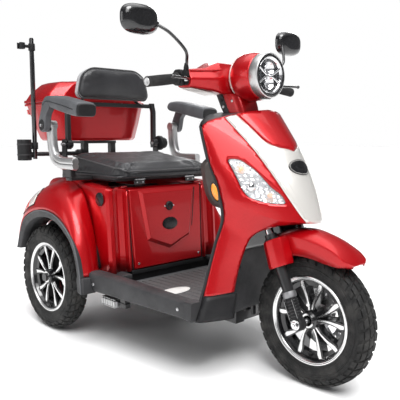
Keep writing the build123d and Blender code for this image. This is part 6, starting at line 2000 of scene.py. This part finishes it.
for side, word in SIDES:
    a, b = bar_point(side, 0.2235), bar_point(side, 0.3445)
    length = (Vector(b) - Vector(a)).length
    grip = [(0.0, 0.0112), (0.0, 0.0196), (0.0045, 0.0200), (0.0055, 0.0165)]
    ribs = 26
    for i in range(ribs):
        at = 0.0075 + i * (length - 0.016) / ribs
        swell = 0.0158 + 0.0007 * math.sin(math.pi * i / ribs)
        grip += [(at, swell - 0.0011), (at + 0.0008, swell), (at + 0.0028, swell),
            (at + 0.0034, swell - 0.0011)]
    grip += [(length - 0.006, 0.0162), (length - 0.002, 0.0160), (length, 0.0140), (length, 0.0001)]
    body, node = ("throttle", "throttle_grip") if side < 0 else ("steering", "left_grip")
    piece(f"grip_{word}", *spun(a, b, grip), GRIP, body, "grip_rubber", [node], sharp=50)
    plug = [(length - 0.0002, 0.0125), (length + 0.0012, 0.0120), (length + 0.0018, 0.0090),
        (length + 0.0008, 0.0075), (length + 0.0008, 0.0001)]
    piece(f"grip_plug_{word}", *spun(a, b, plug), SATIN, body, "grip_rubber")
    box = rounded([(0.357, 0.920), (0.368, 0.913), (0.390, 0.913), (0.399, 0.922), (0.399, 0.955),
        (0.390, 0.963), (0.366, 0.963), (0.357, 0.952)], 0.007, 4)
    rings = [[(side * x, aft(0.378 + (d - 0.378) * g), 0.938 + (z - 0.938) * g) for d, z in box] for x,
        g in ((0.2018, 0.94), (0.2035, 1.0), (0.2165, 1.0), (0.2185, 0.94))]
    piece(f"switch_box_{word}", *loft(rings), BLACK, "steering", "black_plastic",
        ["switch_housings"] if side > 0 else [], bevel=0.0015)
    clamp = rounded([(0.337, 0.937), (0.360, 0.936), (0.360, 0.948), (0.350, 0.962), (0.340, 0.962),
        (0.336, 0.947)], 0.003, 3)
    block(f"lever_clamp_{word}", [(aft(d), z) for d, z in clamp], *sorted((side * 0.2035, side * 0.2170)),
        "X", BLACK, "steering", 0.002, slot="black_plastic")
    for k, (x, z, r) in enumerate(((0.210, 0.928, 0.0042), (0.210, 0.940, 0.0036))):
        button = [(0.3985, r), (0.4015, r), (0.4025, r * 0.8), (0.4025, 0.0001)]
        piece(f"switch_button_{word}_{k}", *round_aft(button, (side * x, 0, z), 20), (AMBER, GREY)[k],
            "steering", "black_plastic")
    lever = [(0.204, 0.347, 0.010), (0.214, 0.338, 0.011), (0.228, 0.325, 0.0085), (0.250, 0.314, 0.0075),
        (0.275, 0.308, 0.0070), (0.296, 0.3055, 0.0055)]
    rings = []
    for i, (x, d, wide) in enumerate(lever):
        p, q = lever[max(i - 1, 0)], lever[min(i + 1, len(lever) - 1)]
        run = Vector((q[0] - p[0], q[1] - p[1])).normalized()
        across = Vector((-run.y, run.x))
        tall = 0.0045 - 0.0006 * i / len(lever)
        ring = []
        for j in range(16):
            angle = 2 * math.pi * j / 16
            u, v = math.cos(angle), math.sin(angle)
            u, v = math.copysign(abs(u) ** 0.7, u) * wide, math.copysign(abs(v) ** 0.7, v) * tall
            ring.append((side * (x + across.x * u), aft(d + across.y * u), LEVER_Z + v))
        rings.append(ring)
    piece(f"lever_{word}", *loft(rings), GLOSS_BLACK, f"{word}_brake_lever", "frame_steel",
        [f"{word}_brake_lever"])
    knob = [(-0.0058, 0.0001), (-0.0052, 0.0030), (-0.003, 0.0053), (0.0, 0.0062), (0.003, 0.0053),
        (0.0052, 0.0030), (0.0058, 0.0001)]
    piece(f"lever_ball_{word}", *revolve(knob, (side * 0.2995, aft(0.305), LEVER_Z), 24), GLOSS_BLACK,
        f"{word}_brake_lever", "frame_steel")
    pivot = [(-0.0062, 0.0001), (-0.0062, 0.0058), (-0.0045, 0.0072), (0.0045, 0.0072), (0.0062, 0.0058),
        (0.0062, 0.0001)]
    piece(f"lever_pivot_{word}", *revolve(pivot, (side * 0.210, aft(0.345), 0.9310), 24, "Z"), STEEL,
        f"{word}_brake_lever", "frame_steel")

    stalk = curve_points([(side * x, aft(d), z) for x, d,
        z in ((0.210, 0.345, 0.966), (0.212, 0.340, 0.985), (0.234, 0.322, 1.014), (0.268, 0.352, 1.064),
        (0.302, 0.382, 1.092))], 8)
    piece(f"mirror_stalk_{word}", *tube(stalk, 0.0048, 14), GLOSS_BLACK, f"{word}_mirror", "frame_steel")
    foot = [(0.9615, 0.0085), (0.966, 0.0085), (0.972, 0.0072), (0.980, 0.0050)]
    piece(f"mirror_foot_{word}", *revolve([(z, r) for z, r in foot], (side * 0.210, aft(0.345), 0.0), 6,
        "Z"), BLACK, f"{word}_mirror", "frame_steel")
    joint = [(-0.006, 0.0001), (-0.005, 0.0085), (0.010, 0.0095), (0.016, 0.0001)]
    piece(f"mirror_joint_{word}", *spun((side * 0.298, aft(0.381), 1.090), (side * 0.31, aft(0.383), 1.092),
        joint, 24), BLACK, f"{word}_mirror", "frame_steel")
    rings = []
    for d, g in ((0.3695, 0.46), (0.3720, 0.66), (0.3765, 0.82), (0.3840, 0.94), (0.3930, 0.99),
            (0.4005, 1.0), (0.4025, 0.985), (0.4025, 0.93), (0.4005, 0.925)):
        ring = []
        for j in range(56):
            angle = 2 * math.pi * j / 56
            u, v = math.cos(angle), math.sin(angle)
            u, v = math.copysign(abs(u) ** 0.72, u), math.copysign(abs(v) ** 0.72, v)
            ring.append((side * (MIRROR_X + 0.0665 * g * u), aft(d), MIRROR_Z + 0.0435 * g * v))
        rings.append(ring)
    stands = [name for name in NODES if name.startswith(f"{word}_mirror")]
    piece(f"mirror_shell_{word}", *loft(rings), GLOSS_BLACK, f"{word}_mirror", "black_plastic",
        [name for name in stands if "glass" not in name], bevel=0.0008)
    glass = [[(side * MIRROR_X + (p[0] - side * MIRROR_X) * g, aft(d),
        MIRROR_Z + (p[2] - MIRROR_Z) * g) for p in rings[5]] for d,
        g in ((0.3985, 0.92), (0.4012, 0.92), (0.4018, 0.90))]
    piece(f"mirror_face_{word}", *loft(glass), MIRROR, f"{word}_mirror", "mirror_glass",
        [name for name in stands if "glass" in name])
horn = [(0.3975, 0.0050), (0.4005, 0.0050), (0.4015, 0.0038), (0.4015, 0.0001)]
piece("horn_push", *round_aft(horn, (0.210, 0, 0.952), 28), TAIL_RED, "horn_button", "black_plastic",
    ["horn_button"])


# ---------------------------------------------------------------- top case
def case_ring(z, half, front, back, fold):
    """One level of the case, its corners cut and its front and back faces folded into facets."""
    middle = (front + back) / 2
    corner, depth = 0.052, back - front
    points = [(-half + corner, front), (-half * 0.42, front - fold), (half * 0.42, front - fold),
        (half - corner, front),
              (half, front + corner * 0.8), (half + fold, middle), (half, back - corner * 0.8),
              (half - corner, back), (half * 0.42, back + fold), (-half * 0.42,
                  back + fold), (-half + corner, back),
              (-half, back - corner * 0.8), (-half - fold, middle), (-half, front + corner * 0.8)]
    return [(x, aft(d), z) for x, d in rounded(points, 0.008 if depth else 0, 3)]


CASE_LEVELS = [(0.7330, 0.192, 1.136, 1.320, 0.0), (0.7355, 0.200, 1.128, 1.328, 0.005),
    (0.744, 0.205, 1.122, 1.336, 0.007), (0.810, 0.224, 1.118, 1.358, 0.008),
    (0.880, 0.241, 1.115, 1.377, 0.008)]
piece("case_shell", *loft([case_ring(*row) for row in CASE_LEVELS], caps=False), RED, "chassis",
    "red_paint", ["case_base"], bevel=0.0012, thick=0.003, sharp=18)
piece("case_floor", *loft([case_ring(z, 0.199, 1.130, 1.326, 0.002) for z in (0.7345, 0.7375)]), BLACK,
    "chassis", "red_paint")
piece("case_lining", *loft([case_ring(*row) for row in ((0.7375, 0.194, 1.134, 1.322, 0.0),
    (0.810, 0.2215, 1.122, 1.353, 0.002), (0.8795, 0.2385, 1.118, 1.373, 0.002))], caps=False), BLACK,
    "chassis", "red_paint", thick=0.0012, sharp=18)


def band(outer, inner, low, high, ease_in=0.0015):
    """Flat collar between two case outlines."""
    rings = []
    for ring, z, grow in ((inner, low, 0), (outer, low, -ease_in), (outer, low + ease_in, 0),
            (outer, high - ease_in, 0), (outer, high, -ease_in), (inner, high, 0)):
        rings.append(case_ring(z, ring[0] + grow, ring[1] - grow, ring[2] + grow, ring[3]))
    verts, faces = loft(rings, caps=False)
    count, last = len(rings[0]), len(verts) - len(rings[0])
    faces += [(last + i, last + (i + 1) % count, (i + 1) % count, i) for i in range(count)]
    return verts, faces


piece("case_flange", *band((0.2485, 1.1095, 1.3865, 0.0015), (0.236, 1.121, 1.371, 0.001), 0.8795, 0.8895),
    RED, "chassis", "red_paint", bevel=0.0008, sharp=30)
piece("case_seal", *band((0.2440, 1.1140, 1.3820, 0.001), (0.238, 1.119, 1.374, 0.001), 0.8895, 0.8912),
    BLACK, "chassis", "red_paint")
piece("lid_flange", *band((0.2490, 1.1090, 1.3890, 0.0015), (0.234, 1.124, 1.374, 0.001), 0.8915, 0.9038),
    RED, "case_lid", "red_paint", bevel=0.001, sharp=30)
LID_LEVELS = [(0.9025, 0.244, 1.114, 1.384, 0.002), (0.9300, 0.2305, 1.1165, 1.370, 0.003),
    (0.9630, 0.1975, 1.1200, 1.351, 0.003), (0.9720, 0.188, 1.1230, 1.343, 0.003),
    (0.9790, 0.168, 1.1270, 1.330, 0.001), (0.9805, 0.150, 1.140, 1.315, 0.0)]
piece("lid_shell", *loft([case_ring(*row) for row in LID_LEVELS]), RED, "case_lid", "red_paint",
    ["case_lid"], bevel=0.0016, sharp=18)
deck = rounded([(-0.105, 1.165), (0.105, 1.165), (0.125, 1.205), (0.115, 1.290), (-0.115, 1.290),
    (-0.125, 1.205)], 0.012, 4)
rings = [[(x * g, aft(1.2275 + (d - 1.2275) * g), z) for x, d in deck] for z,
    g in ((0.9798, 1.0), (0.9828, 0.99), (0.9838, 0.97), (0.9838, 0.90), (0.9825, 0.88))]
piece("lid_panel", *loft(rings), RED, "case_lid", "red_paint", bevel=0.0008, sharp=30)
latch = rounded([(-0.043, 0.860), (0.043, 0.860), (0.045, 0.872), (0.038, 0.887), (-0.038, 0.887),
    (-0.045, 0.872)], 0.004, 3)
case_latch_levels = [(1.3800, 1.0), (1.3960, 1.0), (1.3992, 0.95), (1.3996, 0.86)]
piece("case_latch", *stepped(latch, 0.873, case_latch_levels), BLACK, "chassis", "red_paint", bevel=0.0008)
lock = [(1.398, 0.0001), (1.398, 0.0085), (1.4000, 0.0080), (1.4006, 0.0065), (1.4002, 0.0001)]
piece("case_lock", *round_aft(lock[1:], (0, 0, 0.873), 32), STEEL, "chassis", "red_paint")
CASE_HINGE = (aft(1.108), 0.8905)
for side, word in SIDES:
    for k, (low, high, body, half) in enumerate(((0.0605, 0.0895, "case_lid", 0.0060),
            (0.0525, 0.0590, "chassis", 0.0064), (0.0910, 0.0975, "chassis", 0.0064))):
        knuckle = [(side * low, half * 0.9), (side * (low + 0.001), half), (side * (high - 0.001), half),
            (side * high, half * 0.9), (side * high, 0.0001)]
        knuckle = [(side * low, 0.0001)] + knuckle
        piece(f"case_knuckle_{word}_{k}", *revolve(knuckle, (0, *CASE_HINGE), 24),
            STEEL if k else BLACK, body, "red_paint")
    lamp = rounded([(side * 0.150, 0.842), (side * 0.218, 0.846), (side * 0.222, 0.868),
        (side * 0.150, 0.864)], 0.004, 3)
    block(f"case_reflector_{word}", [(x, z) for x, z in lamp], aft(1.364), aft(1.3765), "Y", TAIL_RED,
        "chassis", 0.001, slot="red_paint")

# ---------------------------------------------------------------- cane pole and its holder
POLE = (-0.280, aft(1.200), 0.0)
bar = curve_points([(-0.090, aft(1.159), 0.680), (-0.15, aft(1.172), 0.680), (-0.280, POLE[1], 0.680)],
    6)
piece("cane_arm", *tube(bar, 0.009, 18), FRAME_STEEL, "chassis", "frame_steel", ["cane_holder"])
lug = rounded([(aft(1.138), 0.664), (aft(1.180), 0.664), (aft(1.180), 0.697), (aft(1.138), 0.697)], 0.006,
    3)
block("cane_lug", lug, -0.0980, -0.0826, "X", FRAME_STEEL, "chassis", 0.0015, slot="frame_steel")
for k, z in enumerate((0.672, 0.689)):
    nut = [(-0.1040, 0.0001), (-0.1040, 0.0052), (-0.1030, 0.0062), (-0.0980, 0.0062)]
    piece(f"cane_bolt_{k}", *revolve(nut, (0, aft(1.1765), z), 6), STEEL, "chassis", "frame_steel")
pole = [(0.6600, 0.0001), (0.6600, 0.0085), (0.6612, 0.0095), (1.1400, 0.0095), (1.1450, 0.0080),
    (1.1468, 0.0050), (1.1470, 0.0001)]
piece("cane_pole", *revolve(pole, POLE, 32, "Z"), GLOSS_BLACK, "chassis", "frame_steel")
for k, z in enumerate((0.700, 1.096)):
    collar = [(z, 0.0096), (z, 0.0125), (z + 0.002, 0.0134), (z + 0.026, 0.0134), (z + 0.028, 0.0125),
        (z + 0.028, 0.0096)]
    piece(f"cane_collar_{k}", *revolve(collar, POLE, 32, "Z"), BLACK, "chassis", "frame_steel")
piece("cane_clip_arm", *tube([(-0.280, aft(1.2), 1.112), (-0.3135, aft(1.2), 1.112)], 0.0062, 16), BLACK,
    "chassis", "frame_steel")
CLIP = (-0.326, POLE[1])
arc = [math.radians(a) for a in range(-140, 141, 10)]
outer = [(CLIP[0] + 0.0160 * math.cos(a), CLIP[1] + 0.0160 * math.sin(a)) for a in arc]
inner = [(CLIP[0] + 0.0117 * math.cos(a), CLIP[1] + 0.0117 * math.sin(a)) for a in reversed(arc)]
rings = []
for z, g in ((1.1002, 0.0), (1.1012, 0.0006), (1.1228, 0.0006), (1.1238, 0.0)):
    rings.append([(x, y, z) for x, y in outer + inner])
piece("cane_clip_jaw", *loft(rings), BLACK, "chassis", "frame_steel", bevel=0.0008, sharp=35)
cup = [(0.6560, 0.0001), (0.6560, 0.0265), (0.6575, 0.0278), (0.7375, 0.0284), (0.7400, 0.0278),
    (0.7402, 0.0250), (0.7385, 0.0242), (0.6620, 0.0238), (0.6610, 0.0001)]
piece("cane_cup", *revolve(cup, (CLIP[0], CLIP[1], 0.0), 56, "Z"), BLACK, "chassis", "frame_steel",
    bevel=0.0006)
for k, z in enumerate((0.676, 0.718)):
    hoop = [(z, 0.0278), (z, 0.0291), (z + 0.0015, 0.0294), (z + 0.0045, 0.0294), (z + 0.006, 0.0291),
        (z + 0.006, 0.0279)]
    piece(f"cane_cup_hoop_{k}", *revolve(hoop, (CLIP[0], CLIP[1], 0.0), 56, "Z"), GREY, "chassis",
        "frame_steel")
web = rounded([(-0.3055, 0.666), (-0.284, 0.666), (-0.284, 0.689), (-0.3055, 0.689)], 0.004, 3)
block("cane_web", web, aft(1.1930), aft(1.2070), "Y", FRAME_STEEL, "chassis", 0.002, slot="frame_steel")


# ---------------------------------------------------------------- floor, light and the end
floor = bpy.data.meshes.new("floor")
FLOOR_REACH = 30
corners = [(x * FLOOR_REACH, y * FLOOR_REACH, 0) for x, y in ((-1, -1), (1, -1), (1, 1), (-1, 1))]
floor.from_pydata(corners, [], [(0, 1, 2, 3)])
ground = bpy.data.objects.new("floor", floor)
bpy.context.scene.collection.objects.link(ground)
pale = Shader("pale_floor", (0.93, 0.93, 0.93), 0.55, Specular_IOR_Level=0.2)
pale.worn(pale.noise(2), 0.04)
floor.materials.append(pale.material)

world = bpy.data.worlds.new("studio")
bpy.context.scene.world = world
world.use_nodes = True
nodes, links = world.node_tree.nodes, world.node_tree.links
room = nodes["Background"]
backdrop = nodes.new("ShaderNodeBackground")
backdrop.inputs["Color"].default_value = (1, 1, 1, 1)
seen = nodes.new("ShaderNodeLightPath")
choose = nodes.new("ShaderNodeMixShader")
coordinates = nodes.new("ShaderNodeTexCoord")
split = nodes.new("ShaderNodeSeparateXYZ")
ramp = nodes.new("ShaderNodeValToRGB")
links.new(coordinates.outputs["Generated"], split.inputs[0])
links.new(split.outputs["Z"], ramp.inputs["Fac"])
links.new(ramp.outputs["Color"], room.inputs["Color"])
links.new(seen.outputs["Is Camera Ray"], choose.inputs[0])
links.new(room.outputs[0], choose.inputs[1])
links.new(backdrop.outputs[0], choose.inputs[2])
links.new(choose.outputs[0], nodes["World Output"].inputs["Surface"])
stops = ramp.color_ramp.elements
stops[0].position, stops[0].color = 0.0, (0.28, 0.28, 0.29, 1)
stops[1].position, stops[1].color = 0.95, (0.70, 0.70, 0.71, 1)
for place, shade in ((0.16, 0.20), (0.55, 0.09)):
    stops.new(place).color = (shade, shade, shade * 1.03, 1)


def softbox(name, place, target, size, power):
    light = bpy.data.lights.new(name, "AREA")
    light.shape = "RECTANGLE"
    light.size, light.size_y = size
    light.energy = power
    lamp = bpy.data.objects.new(name, light)
    lamp.location = place
    lamp.rotation_euler = (Vector(target) - Vector(place)).to_track_quat("-Z", "Y").to_euler()
    bpy.context.scene.collection.objects.link(lamp)


softbox("key", (-2.6, -2.6, 3.4), (0, 0, 0.5), (2.2, 1.6), 48)
softbox("top", (0.2, 0.0, 3.6), (0, 0, 0.4), (3.2, 2.6), 40)
softbox("fill", (-3.2, 1.2, 1.6), (0, 0.1, 0.5), (1.4, 1.8), 16)
softbox("rim", (2.6, 1.8, 2.2), (0, 0, 0.7), (1.4, 1.4), 30)
sun = bpy.data.lights.new("daylight", "SUN")
sun.energy = 3.1
sun.angle = math.radians(35)
sky = bpy.data.objects.new("daylight", sun)
sky.rotation_euler = (math.radians(24), math.radians(-16), 0)
bpy.context.scene.collection.objects.link(sky)
bpy.context.scene.view_settings.view_transform = "Standard"
